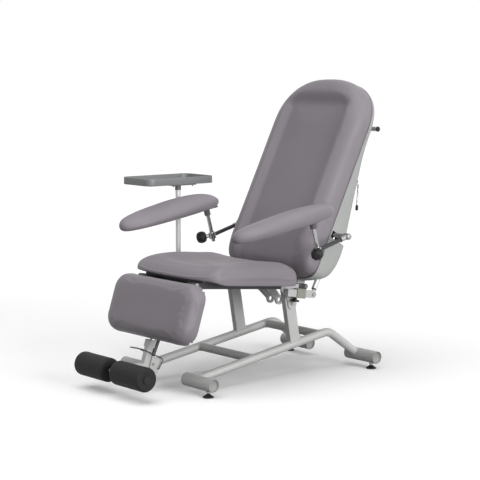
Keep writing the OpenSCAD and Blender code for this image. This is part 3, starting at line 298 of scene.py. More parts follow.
# cut the corners of a line again and again, and keep its ends
def roundLine(points, rounds=3):
    line = np.array(points, float)
    for _ in range(rounds):
        a, b = line[:-1], line[1:]
        cut = np.empty((2 * len(a), line.shape[1]))
        cut[0::2] = 0.75 * a + 0.25 * b
        cut[1::2] = 0.25 * a + 0.75 * b
        line = np.vstack([line[:1], cut, line[-1:]])
    return line


def easeStep(t):
    t = np.clip(t, 0, 1)
    return t * t * (3 - 2 * t)


# how much of its height a form has lost along a round end, from 0 to nearly 1
def roundFall(share):
    return 1 - np.sqrt(1 - share * share * 0.995)


# more points along each side of an outline
def dense(outline, step=0.001):
    closed = np.vstack([outline, outline[:1]])
    run = np.concatenate([[0], np.cumsum(np.hypot(*np.diff(closed, axis=0).T))])
    where = np.linspace(0, run[-1], int(run[-1] / step), endpoint=False)
    return np.column_stack([np.interp(where, run, closed[:, 0]), np.interp(where, run, closed[:, 1])])


# one axis of a super-ellipse, from the cosines or the sines of its turn
def ovalRun(share, power):
    return np.sign(share) * np.abs(share) ** (2 / power)


def superOval(halfA, halfB, power, count=720):
    angle = np.linspace(0, math.tau, count, endpoint=False)
    return np.column_stack([halfA * ovalRun(np.cos(angle), power), halfB * ovalRun(np.sin(angle), power)])


def roundRect(halfA, halfB, radius, count=60):
    quarter = np.radians(np.linspace(0, 90, count))
    parts = []
    for turn, (x, y) in enumerate([(1, 1), (-1, 1), (-1, -1), (1, -1)]):
        a = quarter + turn * math.pi / 2
        parts.append(np.column_stack([x * (halfA - radius) + radius * np.cos(a),
                                      y * (halfB - radius) + radius * np.sin(a)]))
    return np.vstack(parts)


outlinePower = {"upper": 2.4, "lower": 3}


# an outline with a wide round upper end and a tighter lower end
def backOutline(halfW, foot, top, crown, chin, count=1440):
    angle = np.linspace(0, math.tau, count, endpoint=False)
    c, s = np.cos(angle), np.sin(angle)
    middle = (top + foot) / 2
    p, q = outlinePower["upper"], outlinePower["lower"]
    upper = np.column_stack([halfW * ovalRun(c, p), top - crown - middle + crown * ovalRun(np.abs(s), p)])
    lower = np.column_stack([halfW * ovalRun(c, q), foot + chin - middle - chin * ovalRun(np.abs(s), q)])
    return np.where((s > 0)[:, None], upper, lower)


formLook = {"face": 0.9999, "deepest": 0.995, "halvings": 36}


# a subdivided cube drawn onto an outline: its sides follow the lower part of the profile, up to the lid,
# and its top follows the rest by how deep a point lies inside the outline, found by halving
def paddedForm(outline, half, profile, shape, cuts, lid):
    bm = bmesh.new()
    bmesh.ops.create_cube(bm, size=2)
    bmesh.ops.subdivide_edges(bm, edges=bm.edges[:], cuts=cuts, use_grid_fill=True)
    halfA, halfB = half
    outline = dense(outline)
    angle = np.arctan2(outline[:, 1], outline[:, 0])
    order = np.argsort(angle)
    angle, reach = angle[order], np.hypot(outline[:, 0], outline[:, 1])[order]
    angle = np.concatenate([angle[-1:] - math.tau, angle, angle[:1] + math.tau])
    reach = np.concatenate([reach[-1:], reach, reach[:1]])
    line = roundLine(profile)
    steps = np.concatenate([[0], np.cumsum(np.hypot(*np.diff(line, axis=0).T))])
    peak = int(np.argmin(line[:, 0]))
    start = peak + int(np.argmax(line[peak:, 0] >= lid * profile[-1][0]))
    co = np.array([v.co for v in bm.verts])
    ring = np.maximum(np.abs(co[:, 0]), np.abs(co[:, 1]))
    safe = np.maximum(ring, 1e-9)
    direction = np.arctan2(co[:, 1] / safe * halfB, co[:, 0] / safe * halfA)
    radius = np.interp(direction, angle, reach)
    edge = np.column_stack([radius * np.cos(direction), radius * np.sin(direction)])
    share = np.array([halfA, halfB])
    onTop, onBase = co[:, 2] > formLook["face"], co[:, 2] < -formLook["face"]
    along = np.interp((co[:, 2] + 1) / 2 * steps[start], steps, np.arange(len(line)))
    inset = np.interp(along, np.arange(len(line)), line[:, 0])
    height = np.interp(along, np.arange(len(line)), line[:, 1])
    inset[onTop], inset[onBase] = line[start, 0], line[0, 0]
    spot = edge * (1 - inset[:, None] / share) * np.where(onTop | onBase, ring, 1)[:, None]
    low, high = np.zeros(len(co)), np.full(len(co), min(half) * formLook["deepest"])
    for _ in range(formLook["halvings"]):
        middle = (low + high) / 2
        px, py = spot[:, 0] / (1 - middle / halfA), spot[:, 1] / (1 - middle / halfB)
        outside = np.hypot(px, py) > np.interp(np.arctan2(py, px), angle, reach)
        high, low = np.where(outside, middle, high), np.where(outside, low, middle)
    height = np.where(onTop, np.interp((low + high) / 2, line[start:, 0], line[start:, 1]), height)
    height[onBase] = line[0, 1]
    height = height + shape(spot[:, 0], spot[:, 1], height)
    for v, x, y, z in zip(bm.verts, spot[:, 0], spot[:, 1], height):
        v.co = (x, y, z)
    return bm


# inflate a piece a little as cloth, with its base held, and cap how far a point moves
def swellCloth(piece, settings, base):
    mesh = piece.data
    held = piece.vertex_groups.new(name="held")
    rest = np.array([v.co for v in mesh.vertices])
    held.add([i for i, z in enumerate(base) if z < settings["heldBelow"]], 1.0, "REPLACE")
    cloth = piece.modifiers.new("swell", "CLOTH")
    cloth.settings.quality = 6
    cloth.settings.mass = 0.3
    cloth.settings.tension_stiffness = 20
    cloth.settings.compression_stiffness = 20
    cloth.settings.shear_stiffness = 8
    cloth.settings.bending_stiffness = settings["bend"]
    cloth.settings.use_pressure = True
    cloth.settings.uniform_pressure_force = settings["pressure"]
    cloth.settings.effector_weights.gravity = 0
    cloth.settings.vertex_group_mass = "held"
    cloth.collision_settings.use_collision = False
    cloth.point_cache.frame_end = settings["frames"]
    scene = bpy.context.scene
    for number in range(1, settings["frames"] + 1):
        scene.frame_set(number)
    shaped = piece.evaluated_get(bpy.context.evaluated_depsgraph_get()).to_mesh()
    moved = np.array([v.co for v in shaped.vertices]) - rest
    piece.modifiers.remove(cloth)
    piece.vertex_groups.remove(held)
    scene.frame_set(1)
    far = np.linalg.norm(moved, axis=1)
    moved *= (settings["cap"] * np.tanh(far / settings["cap"]) / np.maximum(far, 1e-9))[:, None]
    mesh.vertices.foreach_set("co", (rest + moved).astype(np.float32).ravel())
    mesh.update()
    most = float(np.linalg.norm(moved, axis=1).max()) * 1000
    print("  swelled", piece.name, "by up to", round(most, 1), "mm")


# the profile is in shares of the thickness, and past a panel's border in shares of the border's width
def makeCushion(name, body, replaced, place, settings, outline, half, shape):
    t = settings["thick"]
    profile = [(a * t, h * t) for a, h in settings["profile"]]
    profile += [(a * settings["border"], h * t) for a, h in settings.get("panelLine", ())]
    bm = paddedForm(outline, half, profile, shape, settings["cuts"], settings["lid"])
    base = [v.co.z for v in bm.verts]
    putDown(bm, place)
    piece = finishPiece(name, bm, "vinyl", body, [replaced])
    swellCloth(piece, settings, base)
    smooth = piece.modifiers.new("round", "SUBSURF")
    smooth.levels = smooth.render_levels = 1


# the cover's lower edge comes down over the edge of the board
def skirtDrop(x, y, z, s):
    edge = (np.abs(x) > s["half"][0] * s["rimFrom"][0]) | (np.abs(y) > s["half"][1] * s["rimFrom"][1])
    return np.where(edge, -s["skirt"], 0) * np.clip(1 - z / s["thick"] * s["skirtRise"], 0, 1)


seatLook = {
    "half": (0.301, 0.2885), "centre": 0.368, "front": 0.084, "rear": 0.078, "thick": 0.088,
    "profile": [(0.05, 0), (0.01, 0.08), (0, 0.25), (0.01, 0.5), (0.06, 0.7), (0.18, 0.86), (0.4, 0.97),
                (0.8, 1), (1.5, 1), (2.4, 1)],
    "cuts": 44, "lid": 0.14, "fill": 0.9,
    "dip": 0.030, "dipRound": 1.3, "dipRun": 1.6, "dipLoss": 0.75,
    "nose": 0.300, "noseFall": 0.84, "roll": 0.150, "rollFall": 0.75,
    "skirt": 0.015, "rimFrom": (0.93, 0.93), "skirtRise": 3, "skirtFrom": 0.02, "skirtRun": 0.10,
    "heldBelow": 0.012, "bend": 4, "pressure": 3.5, "cap": 0.004, "frames": 16,
}


# dished in the middle, least of all to the rear, and rolled over its nose and under the back
def seatShape(x, y, z):
    s = seatLook
    side = np.abs(x) / s["half"][0]
    up = easeStep((z - s["thick"] / 3) / (s["thick"] / 2))
    ahead = np.clip((-y - s["half"][1] + s["nose"]) / s["nose"], 0, 1)
    behind = np.clip((y - s["half"][1] + s["roll"]) / s["roll"], 0, 1)
    dip = (up * -s["dip"] * (1 - easeStep(side * side * s["dipRound"]))
           * easeStep((s["half"][1] + y) / s["nose"] * s["dipRun"]))
    dip = dip * (1 - s["dipLoss"] * easeStep(y / s["half"][1] * s["dipRun"]))
    skirt = skirtDrop(x, y, z, s) * easeStep((y + s["half"][1] - s["skirtFrom"]) / s["skirtRun"])
    return skirt + dip - z * s["noseFall"] * roundFall(ahead) - z * s["rollFall"] * roundFall(behind)


makeCushion("seatCushion", "base", "seat_cushion",
            seatPlace @ shift(0, -seatLook["centre"],
                              chair["tubeHalf"] + chair["boardT"] + chair["cushionGap"]),
            seatLook, backOutline(seatLook["half"][0], -seatLook["half"][1], seatLook["half"][1],
                                  seatLook["rear"], seatLook["front"]),
            seatLook["half"], seatShape)

backPanel = {
    "halfW": 0.206, "top": 0.914, "corner": 0.050, "slope": 0.050, "depth": 0.023, "swell": 0.009,
    "spread": 0.16, "steeper": 0.1, "shallower": 0.45, "frontFrom": 0.6,
}
backLook = {
    "halfW": 0.3005, "top": 1.0265, "foot": 0.014, "crown": 0.250, "chin": 0.085, "thick": 0.104,
    "profile": [(0.012, 0), (0.002, 0.06), (0, 0.2), (0.01, 0.43), (0.06, 0.66), (0.19, 0.84), (0.37, 0.94),
                (0.54, 0.985), (0.68, 1)],
    "border": 0.084, "panelLine": [(1, 0.99), (1.8, 0.98), (2.6, 0.98)],
    "cuts": 76, "lid": 0.16, "fill": 0.9, "chinRoll": 0.170, "chinFall": 0.85,
    "heldBelow": 0.012, "bend": 4, "pressure": 3.5, "cap": 0.003, "frames": 16,
}
backMiddle = (backLook["top"] + backLook["foot"]) / 2
backHalf = (backLook["halfW"], (backLook["top"] - backLook["foot"]) / 2)


# the sunken panel is a rounded rectangle, deepest along its edge, and the chin rolls back under the seat
def backShape(x, y, z):
    b, p = backLook, backPanel
    low = np.clip((b["chinRoll"] - y - backHalf[1]) / b["chinRoll"], 0, 1)
    px, py = np.abs(x) - (p["halfW"] - p["corner"]), y - (p["top"] - p["corner"] - backMiddle)
    beyond = np.where(py > 0, np.hypot(np.maximum(px, 0), py), np.maximum(px, 0))
    away = beyond - p["corner"] + np.minimum(np.maximum(px, py), 0)
    above = easeStep(py / p["corner"])
    slope = p["slope"] * (1 - p["steeper"] * above)
    depth = p["depth"] - p["swell"] * easeStep(-away / p["spread"])
    sunk = (1 - p["shallower"] * above) * easeStep(0.5 - away / slope) * depth
    onFront = z > b["thick"] * p["frontFrom"]
    return np.where(onFront, -sunk, 0) - z * b["chinFall"] * roundFall(low)


makeCushion("backCushion", "back", "back_cushion",
            backPlace @ shift(0, -chair["backPlane"] - chair["cushionGap"], backMiddle) @ turnX(90),
            backLook, backOutline(backLook["halfW"], backLook["foot"], backLook["top"],
                                  backLook["crown"], backLook["chin"]),
            backHalf, backShape)

legLook = {
    "half": (0.308, 0.136), "centre": 0.138, "corner": 0.074, "thick": 0.068,
    "profile": [(0.04, 0), (0.005, 0.07), (0, 0.25), (0.02, 0.5), (0.1, 0.72), (0.26, 0.88), (0.55, 0.97),
                (1, 1), (1.8, 1)],
    "cuts": 36, "lid": 0.35, "fill": 0.85,
    "skirt": 0.0115, "rimFrom": (0.94, 0.9), "skirtRise": 4,
    "heldBelow": 0.01, "bend": 4, "pressure": 3.5, "cap": 0.003, "frames": 16,
}


def legShape(x, y, z):
    return skirtDrop(x, y, z, legLook)


makeCushion("legCushion", "leg", "leg_cushion",
            legPlace @ shift(0, -chair["boardT"] - chair["cushionGap"], -legLook["centre"]) @ turnX(90),
            legLook, roundRect(*legLook["half"], legLook["corner"]), legLook["half"], legShape)

padLook = {
    "half": (0.084, 0.293), "power": 2.35, "thick": 0.064, "seat": 0.0115, "length": 0.588,
    "rear": {"left": 0.125, "right": 0.072},
    "profile": [(0.3, 0), (0.12, 0.08), (0.02, 0.26), (0, 0.42), (0.05, 0.64), (0.2, 0.83), (0.5, 0.95),
                (0.95, 1), (1.3, 1)],
    "cuts": 30, "lid": 0.5, "fill": 0.9,
    "lean": 0.22, "taper": (0.14, 0.22, 0.3), "taperPower": (3, 2, 8),
    "lift": 0.013, "liftFrom": 0.9, "liftRun": 1.7, "liftRise": 2.2,
    "heldBelow": 0.004, "bend": 4, "pressure": 3.0, "cap": 0.002, "frames": 12,
}


# the pads are higher along their outer edge and thin out, most of all to the rear
def padShape(x, y, z):
    s = padLook
    along = y / s["half"][1]
    ends = (np.clip(-along, 0, 1), np.clip(along, 0, 1), np.clip(along, 0, 1))
    thinner = sum(share * end ** power for share, end, power in zip(s["taper"], ends, s["taperPower"]))
    lift = (s["lift"] * easeStep((along + s["liftFrom"]) / s["liftRun"])
            * np.clip(z / s["thick"] * s["liftRise"], 0, 1))
    return z * (s["lean"] * x / s["half"][0] - thinner) + lift


for side, turn in sides.items():
    middle = padLook["rear"][side] - padLook["length"] / 2
    makeCushion(side + "ArmPad", side + "_pad", side + "_arm_pad",
                turn @ padPlace @ shift(0, middle, padLook["seat"]), padLook,
                superOval(*padLook["half"], padLook["power"]), padLook["half"], padShape)
print("cushions done")

# rear shell: its depth by the height up the back, both in mm, and its openings as limits along X,
# to the rear and up the back
shellLook = {
    "halfW": 0.302, "top": 1.028, "foot": 0.002, "wall": 0.004, "cuts": 64, "lid": 0.1,
    "shares": [(0, 0), (0.01, 0.35), (0.035, 0.62), (0.075, 0.8), (0.14, 0.92), (0.24, 0.98), (0.4, 1),
               (0.62, 1)],
    "depth": [(0, 0), (7, 8), (20, 50), (40, 84), (69, 119), (127, 149), (170, 158), (213, 160), (258, 155),
              (305, 145), (410, 119), (545, 88), (620, 68), (690, 52), (760, 47), (840, 46), (940, 50),
              (1060, 50)],
    "onBothSides": {
        "armTube": (0.200, 0.330, -0.040, 0.12, chair["armTubeV"] - 0.016, chair["armTubeV"] + 0.016),
        "pushBar": (0.1610, 0.1880, -0.03, 0.12, 0.8165, 0.8435),
        "hinge": (0.1495, 0.2115, -0.049, 0.027, -0.001, 0.0375),
    },
    "onTheLeft": {
        "spring": (0.2238, 0.2622, 0.012, 0.060, -0.001, 0.0864),
        "lever": (0.237, 0.267, -0.015, 0.30, 0.529, 0.565),
    },
    "near": 0.03, "rim": 0.0008, "rimAngle": 50,
}


def makeShell(s):
    half = (s["halfW"], (s["top"] - s["foot"]) / 2)
    middle = (s["top"] + s["foot"]) / 2
    table = roundLine([(v / 1000, d / 1000) for v, d in s["depth"]], 2)
    profile = [(a * s["halfW"], h) for a, h in s["shares"]]

    def shape(x, y, z):
        return z * (np.interp(y + middle, table[:, 0], table[:, 1]) - 1)

    bm = paddedForm(backOutline(s["halfW"], s["foot"], s["top"], backLook["crown"], backLook["chin"]),
                    half, profile, shape, s["cuts"], s["lid"])
    lowest = [f for f in bm.faces if all(abs(v.co.z) < 1e-7 for v in f.verts)]
    bmesh.ops.delete(bm, geom=lowest, context="FACES")
    rearward = turnX(90) @ Matrix.Scale(-1, 4, (0, 0, 1))
    putDown(bm, backPlace @ shift(0, -chair["backPlane"], middle) @ rearward)
    toBack = backPlace.inverted()

    def inside(face, limits, slack):
        spot = toBack @ face.calc_center_median()
        return all(low - slack < value < high + slack
                   for value, low, high in zip(spot, limits[0::2], limits[1::2]))

    def window(*limits):
        for i, value in enumerate(limits):
            axis = Vector([float(i // 2 == k) for k in range(3)])
            near = [f for f in bm.faces if inside(f, limits, s["near"])]
            geom = list({g for f in near for g in (*f.verts, *f.edges, f)})
            bmesh.ops.bisect_plane(bm, geom=geom, plane_co=backPlace @ (axis * value),
                                   plane_no=backPlace.to_3x3() @ axis, dist=tiny)
        gone = [f for f in bm.faces if inside(f, limits, 0)]
        bmesh.ops.delete(bm, geom=gone, context="FACES")

    for sign in (-1, 1):
        for inner, outer, *rest in s["onBothSides"].values():
            window(*sorted((sign * inner, sign * outer)), *rest)
    for limits in s["onTheLeft"].values():
        window(*limits)
    bmesh.ops.recalc_face_normals(bm, faces=bm.faces)
    piece = finishPiece("rearShell", bm, "shell_plastic", "back", ["rear_shell"])
    wall = piece.modifiers.new("wall", "SOLIDIFY")
    wall.thickness = s["wall"]
    wall.offset = -1
    rim = piece.modifiers.new("rim", "BEVEL")
    rim.width = s["rim"]
    rim.segments = 2
    rim.limit_method = "ANGLE"
    rim.angle_limit = math.radians(s["rimAngle"])


makeShell(shellLook)
print("shell done")

# foot rollers: a foam sleeve, and at its outer end a round black cover over a washer and a nut
rollerLook = {
    "edge": 0.011, "face": 0.003, "bore": 0.0086, "dishGap": 0.002,
    "dish": [(0, -0.003), (0.002, -0.0006), (0.006, 0)],
    "belly": 0.004, "washer": 0.013, "washerT": 0.0016, "nut": 0.013, "nutH": 0.006, "nutShare": 0.6,
    "dome": (0.44, 0.5, 0.003), "domeAt": 0.55, "cover": 0.0185, "coverH": 0.0088, "coverEdge": 0.002,
}


def makeRoller(side, s):
    node = side + "_foot_roller"
    low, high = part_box(node)
    middle, radius, half = (low + high) / 2, (high.z - low.z) / 2, (high.x - low.x) / 2
    place = shift(*middle) @ turnY(90 if middle.x > 0 else -90)
    e, inner = s["edge"], s["washer"] + s["dishGap"]
    arc = np.radians(np.linspace(0, 90, 8))
    upper = ([(s["bore"], half - s["face"])] + [(inner + r, half + h) for r, h in s["dish"]]
             + [(radius - e + e * math.sin(a), half - e + e * math.cos(a)) for a in arc])
    swell = [(radius * (1 - s["belly"] * (1 - t * t)), t * (half - e)) for t in np.linspace(0.8, -0.8, 9)]
    bm = bmesh.new()
    turned(bm, upper + swell + [(r, -h) for r, h in reversed(upper)] + [upper[0]], place, 72)
    finishPiece(side + "FootRoller", bm, "foam", node, [node])
    bm = bmesh.new()
    at = place @ shift(0, 0, half - s["face"])
    r, h, e = s["cover"], s["coverH"], s["coverEdge"]
    turned(bm, [(0, 0), (r, 0), (r, h - e), (r - e, h), (0, h)], at, 40)
    r, h = s["washer"], s["washerT"]
    turned(bm, [(0, 0), (r, 0), (r, h * 0.6), (r - 0.001, h), (0, h)], at, 40)
    hexHead(bm, s["nut"], s["nutH"] * s["nutShare"], at @ shift(0, 0, h))
    dome = domeLine(s["nut"] * s["dome"][0], s["nutH"] * s["dome"][1], s["dome"][2])
    turned(bm, dome, at @ shift(0, 0, h + s["nutH"] * s["domeAt"]), 32)
    finishPiece(side + "RollerNut", bm, "black_plastic", node, smooth=False)


for side in sides:
    makeRoller(side, rollerLook)
print("rollers done")

# arm knobs: a lobed ball on a screw with a collar
knobLook = {
    "radius": 0.029, "half": 0.026, "flat": 0.9, "reach": 0.054, "turn": 42,
    "lobes": 8, "groove": 0.0042, "width": 0.36, "grooveFrom": 0.45, "grooveRun": 0.4,
    "screw": 0.004, "start": 0.0098, "pitch": 0.00125, "thread": 0.0006, "sink": 0.9,
    "collar": 0.0095, "collarH": 0.012,
}


# move a point towards the local Z
def drawIn(v, r, cut):
    if r > tiny:
        v.co.x *= 1 - cut / r
        v.co.y *= 1 - cut / r


def makeKnob(side, s):
    place = sides[side] @ armPlace @ shift(0, -chair["armReach"], 0) @ turnZ(s["turn"]) @ turnX(90)
    body = side + "_arm_knob"
    bm = bmesh.new()
    part = bmesh.new()
    bmesh.ops.create_uvsphere(part, u_segments=96, v_segments=40, radius=s["radius"])
    for v in part.verts:
        r, angle = math.hypot(v.co.x, v.co.y), math.atan2(v.co.y, v.co.x)
        lobe = abs((angle * s["lobes"] / math.tau + 0.5) % 1 - 0.5) * 2
        fade = float(easeStep((r / s["radius"] - s["grooveFrom"]) / s["grooveRun"]))
        drawIn(v, r, s["groove"] * float(easeStep(1 - lobe / s["width"])) * fade)
        flatter = math.tanh(s["flat"] * s["radius"] / s["half"])
        v.co.z = s["half"] * math.tanh(s["flat"] * v.co.z / s["half"]) / flatter
    addPart(bm, part, place @ shift(0, 0, s["reach"]))
    finishPiece(side + "KnobBall", bm, "black_plastic", body, [body])
    bm = bmesh.new()
    r, core, pitch = s["screw"], s["screw"] - s["thread"], s["pitch"]
    top = s["reach"] - s["half"] * s["sink"]
    low = top - s["collarH"]
    line, h = [(0, s["start"]), (core, s["start"])], s["start"]
    while h + pitch < low:
        line += [(r, h + pitch * 0.5), (core, h + pitch)]
        h += pitch
    line += [(r, top), (0, top)]
    turned(bm, line, place, 24)
    c = s["collar"]
    turned(bm, [(0, low), (c - 0.001, low), (c, low + 0.001), (c, top - 0.002), (c + 0.003, top + 0.003),
                (0, top + 0.003)], place, 32)
    finishPiece(side + "KnobScrew", bm, "zinc", body)


for side in sides:
    makeKnob(side, knobLook)

# clamp knobs of the tray's post and of the sleeve block; the collar is drawn from the grip's lower face
clampLook = {
    "radius": 0.021, "h": 0.009, "lobes": 5, "groove": 0.0035, "edge": 0.0025, "stem": 0.004,
    "collar": [(0.004, -0.0085), (0.0085, -0.008), (0.009, -0.006), (0.009, 0.001), (0, 0.001)],
    "block": (0.243, 0.161, 0.3885), "blockSlope": 8.5, "onBlock": (0, -0.102, -0.022),
    "sleeveGripAt": 0.001 + 0.008, "sleeveStemFrom": -0.0047,
}


# a flat five-lobed grip: a disc whose rim is drawn in between the lobes
def lobedGrip(bm, s, place):
    part = bmesh.new()
    bmesh.ops.create_cone(part, cap_ends=True, segments=80, radius1=s["radius"], radius2=s["radius"],
                          depth=s["h"])
    bmesh.ops.translate(part, verts=part.verts, vec=(0, 0, s["h"] / 2))
    bevelEdges(part, s["edge"], 4)
    for v in part.verts:
        r, angle = math.hypot(v.co.x, v.co.y), math.atan2(v.co.y, v.co.x)
        drawIn(v, r, s["groove"] * (0.5 + 0.5 * math.cos(angle * s["lobes"])) * min(1, r / s["radius"]) ** 2)
    addPart(bm, part, place)


def makeClampKnob(name, node, place, gripAt, stemFrom, s):
    bm = bmesh.new()
    lobedGrip(bm, s, place @ shift(0, 0, gripAt))
    turned(bm, [(0, stemFrom), (s["stem"], stemFrom)] + [(r, gripAt + h) for r, h in s["collar"]], place, 32)
    finishPiece(name, bm, "black_plastic", node, [node])


def makeClampKnobs(s):
    low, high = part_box("tray_knob")
    place = shift(high.x, (low.y + high.y) / 2, (low.z + high.z) / 2) @ turnY(-90)
    makeClampKnob("trayKnobGrip", "tray_knob", place, high.x - low.x - s["h"], 0, s)
    place = shift(*s["block"]) @ turnX(-s["blockSlope"]) @ shift(*s["onBlock"]) @ turnX(180)
    makeClampKnob("sleeveKnobGrip", "anchor_knob", place, s["sleeveGripAt"], s["sleeveStemFrom"], s)


makeClampKnobs(clampLook)
print("knobs done")

# tray: a moulded box with a soft rim
trayLook = {"corner": 0.036, "cornerSteps": 14, "wall": 0.007, "floor": 0.006, "soft": 0.0028,
            "softAngle": 50, "rim": 0.006}


def makeTray(s):
    low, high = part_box("tray")
    high = high + Vector((0, 0, s["rim"]))
    size, middle = high - low, (low + high) / 2
    bm = bmesh.new()
    bmesh.ops.create_cube(bm, size=1)
    bmesh.ops.scale(bm, verts=bm.verts, vec=size)
    bmesh.ops.translate(bm, verts=bm.verts, vec=middle)
    upright = [e for e in bm.edges if abs((e.verts[0].co - e.verts[1].co).z) > size.z * 0.9]
    bmesh.ops.bevel(bm, geom=upright, offset=s["corner"], offset_type="OFFSET", segments=s["cornerSteps"],
                    profile=0.5, affect="EDGES", material=-1)
    top = [f for f in bm.faces if f.normal.z > 0.9]
    bmesh.ops.inset_region(bm, faces=top, thickness=s["wall"], use_even_offset=True)
    made = bmesh.ops.extrude_face_region(bm, geom=top)
    bmesh.ops.delete(bm, geom=top, context="FACES")
    floor = [g for g in made["geom"] if isinstance(g, bmesh.types.BMVert)]
    bmesh.ops.translate(bm, verts=floor, vec=(0, 0, -(size.z - s["floor"])))
    bevelEdges(bm, s["soft"], 3, s["softAngle"])
    bmesh.ops.recalc_face_normals(bm, faces=bm.faces)
    finishPiece("trayShell", bm, "tray_plastic", "tray", ["tray"])


makeTray(trayLook)

# levelling feet: a ribbed pad, and a stud with its thread and a lock nut
levellerLook = {
    "pad": [(0, 0), (0.0235, 0), (0.025, 0.001), (0.025, 0.0045), (0.024, 0.0055), (0.021, 0.0062),
            (0.019, 0.0085), (0.014, 0.0115), (0.0105, 0.0145), (0.0098, 0.016), (0.0085, 0.0165),
            (0, 0.0165)],
    "stud": 0.006, "studFrom": 0.016, "pitch": 0.00175, "thread": 0.0008, "threadOver": 0.004,
    "plain": 0.0005,
    "nut": 0.019, "nutH": 0.006, "nutAt": 0.0217, "nutTurn": 17, "nutSoft": 0.0007,
}


def makeLeveller(name, s):
    low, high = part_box(name)
    place = shift((low.x + high.x) / 2, (low.y + high.y) / 2, 0)
    bm = bmesh.new()
    turned(bm, s["pad"], place, 48)
    finishPiece(name + "Pad", bm, "black_plastic", name, [name])
    bm = bmesh.new()
    line, h = [(0, s["studFrom"])], s["studFrom"]
    while h < s["nutAt"] + s["nutH"] + s["threadOver"]:
        line += [(s["stud"] - s["thread"], h), (s["stud"], h + s["pitch"] / 2)]
        h += s["pitch"]
    line += [(s["stud"] - s["plain"], h), (s["stud"] - s["plain"], high.z), (0, high.z)]
    turned(bm, line, place, 28)
    hexHead(bm, s["nut"], s["nutH"], place @ shift(0, 0, s["nutAt"]) @ turnZ(s["nutTurn"]), s["nutSoft"])
    finishPiece(name + "Stud", bm, "zinc", name, smooth=False)


for corner in ("left_front", "right_front", "left_rear", "right_rear"):
    makeLeveller(corner + "_leveller", levellerLook)
print("tray and levellers done")

# end caps of the foot tubes and of the push bar
capLook = {
    "foot": [(0, -0.012), (0.0273, -0.012), (0.0273, 0), (0.030, 0), (0.030, 0.0014), (0.029, 0.0026),
             (0.027, 0.0026), (0.026, 0.0016), (0.025, -0.007), (0.023, -0.0085), (0, -0.0085)],
    "footIn": 0.140, "footOut": 0.335, "footY": 0.5, "footZ": 0.058,
    "barR": 0.0128, "barRise": 0.005, "barEdge": 0.004, "barAt": (0.272, 0.034, 0.830),
}


def makeCaps(s):
    bm = bmesh.new()
    for turn in sides.values():
        for y in (-s["footY"], s["footY"]):
            for x, facing in ((s["footOut"], 90), (s["footIn"], -90)):
                turned(bm, s["foot"], turn @ shift(x, y, s["footZ"]) @ turnY(facing), 64)
    finishPiece("footCaps", bm, "cap_plastic", "base", ["foot_tube_caps"])
    bm = bmesh.new()
    for turn in sides.values():
        place = turn @ backPlace @ shift(*s["barAt"]) @ turnY(90)
        turned(bm, domeLine(s["barR"], s["barRise"], s["barEdge"]), place, 40)
    finishPiece("pushBarEnds", bm, "black_plastic", "back", ["push_bar_caps"])


makeCaps(capLook)

# bright plugs in the open ends of the arm tube, with a button by shares of the plug
plugLook = {"radius": 0.0122, "rise": 0.0022, "edge": 0.8,
            "buttonR": 0.45, "buttonRise": 0.5, "buttonEdge": 0.3}


def makeTubePlugs(s):
    low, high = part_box("arm_cross_tube")
    radius, rise = s["radius"], s["rise"]
    button = domeLine(radius * s["buttonR"], rise * s["buttonRise"], rise * s["buttonEdge"])
    bm = bmesh.new()
    for turn in sides.values():
        place = turn @ shift(high.x, (low.y + high.y) / 2, (low.z + high.z) / 2) @ turnY(90)
        turned(bm, domeLine(radius, rise, rise * s["edge"]), place, 40)
        turned(bm, button, place @ shift(0, 0, rise), 28)
    finishPiece("armTubePlugs", bm, "zinc", "back")


makeTubePlugs(plugLook)

# weld beads where the cross tubes, the foot tubes and the uprights meet the rails;
# the "off" values keep a bead's line just off the tubes
weldLook = {
    "railX": 0.198, "railR": 0.020, "crossR": 0.0195, "slope": 9.105, "footR": 0.030, "footY": 0.5,
    "footZ": 0.058, "frontZ": 0.061, "fall": (0.308, 0.1905), "rear": (0.502, 0.058),
    "crossY": (-0.160, 0.254), "uprightY": 0.090, "upright": (0.030, 0.058), "lean": 10,
    "uprightCorner": 0.0035, "uprightStep": 0.0008,
    "bead": 0.0024, "ripples": 46, "rippleDepth": 0.13, "steps": 230,
    "offCross": 0.0004, "offFoot": 0.0003, "offRail": 0.0002, "offUpright": 0.0006,
}


# a rippled bead along a closed line
def weldRing(bm, s, x, y, z, turn):
    points = np.column_stack([x, y, z])
    count = len(points)
    ripple = [1 + s["rippleDepth"] * math.sin(math.tau * s["ripples"] * i / count) for i in range(count)]
    rodAlong(bm, points, s["bead"], turn, 2, closed=True, radii=ripple)


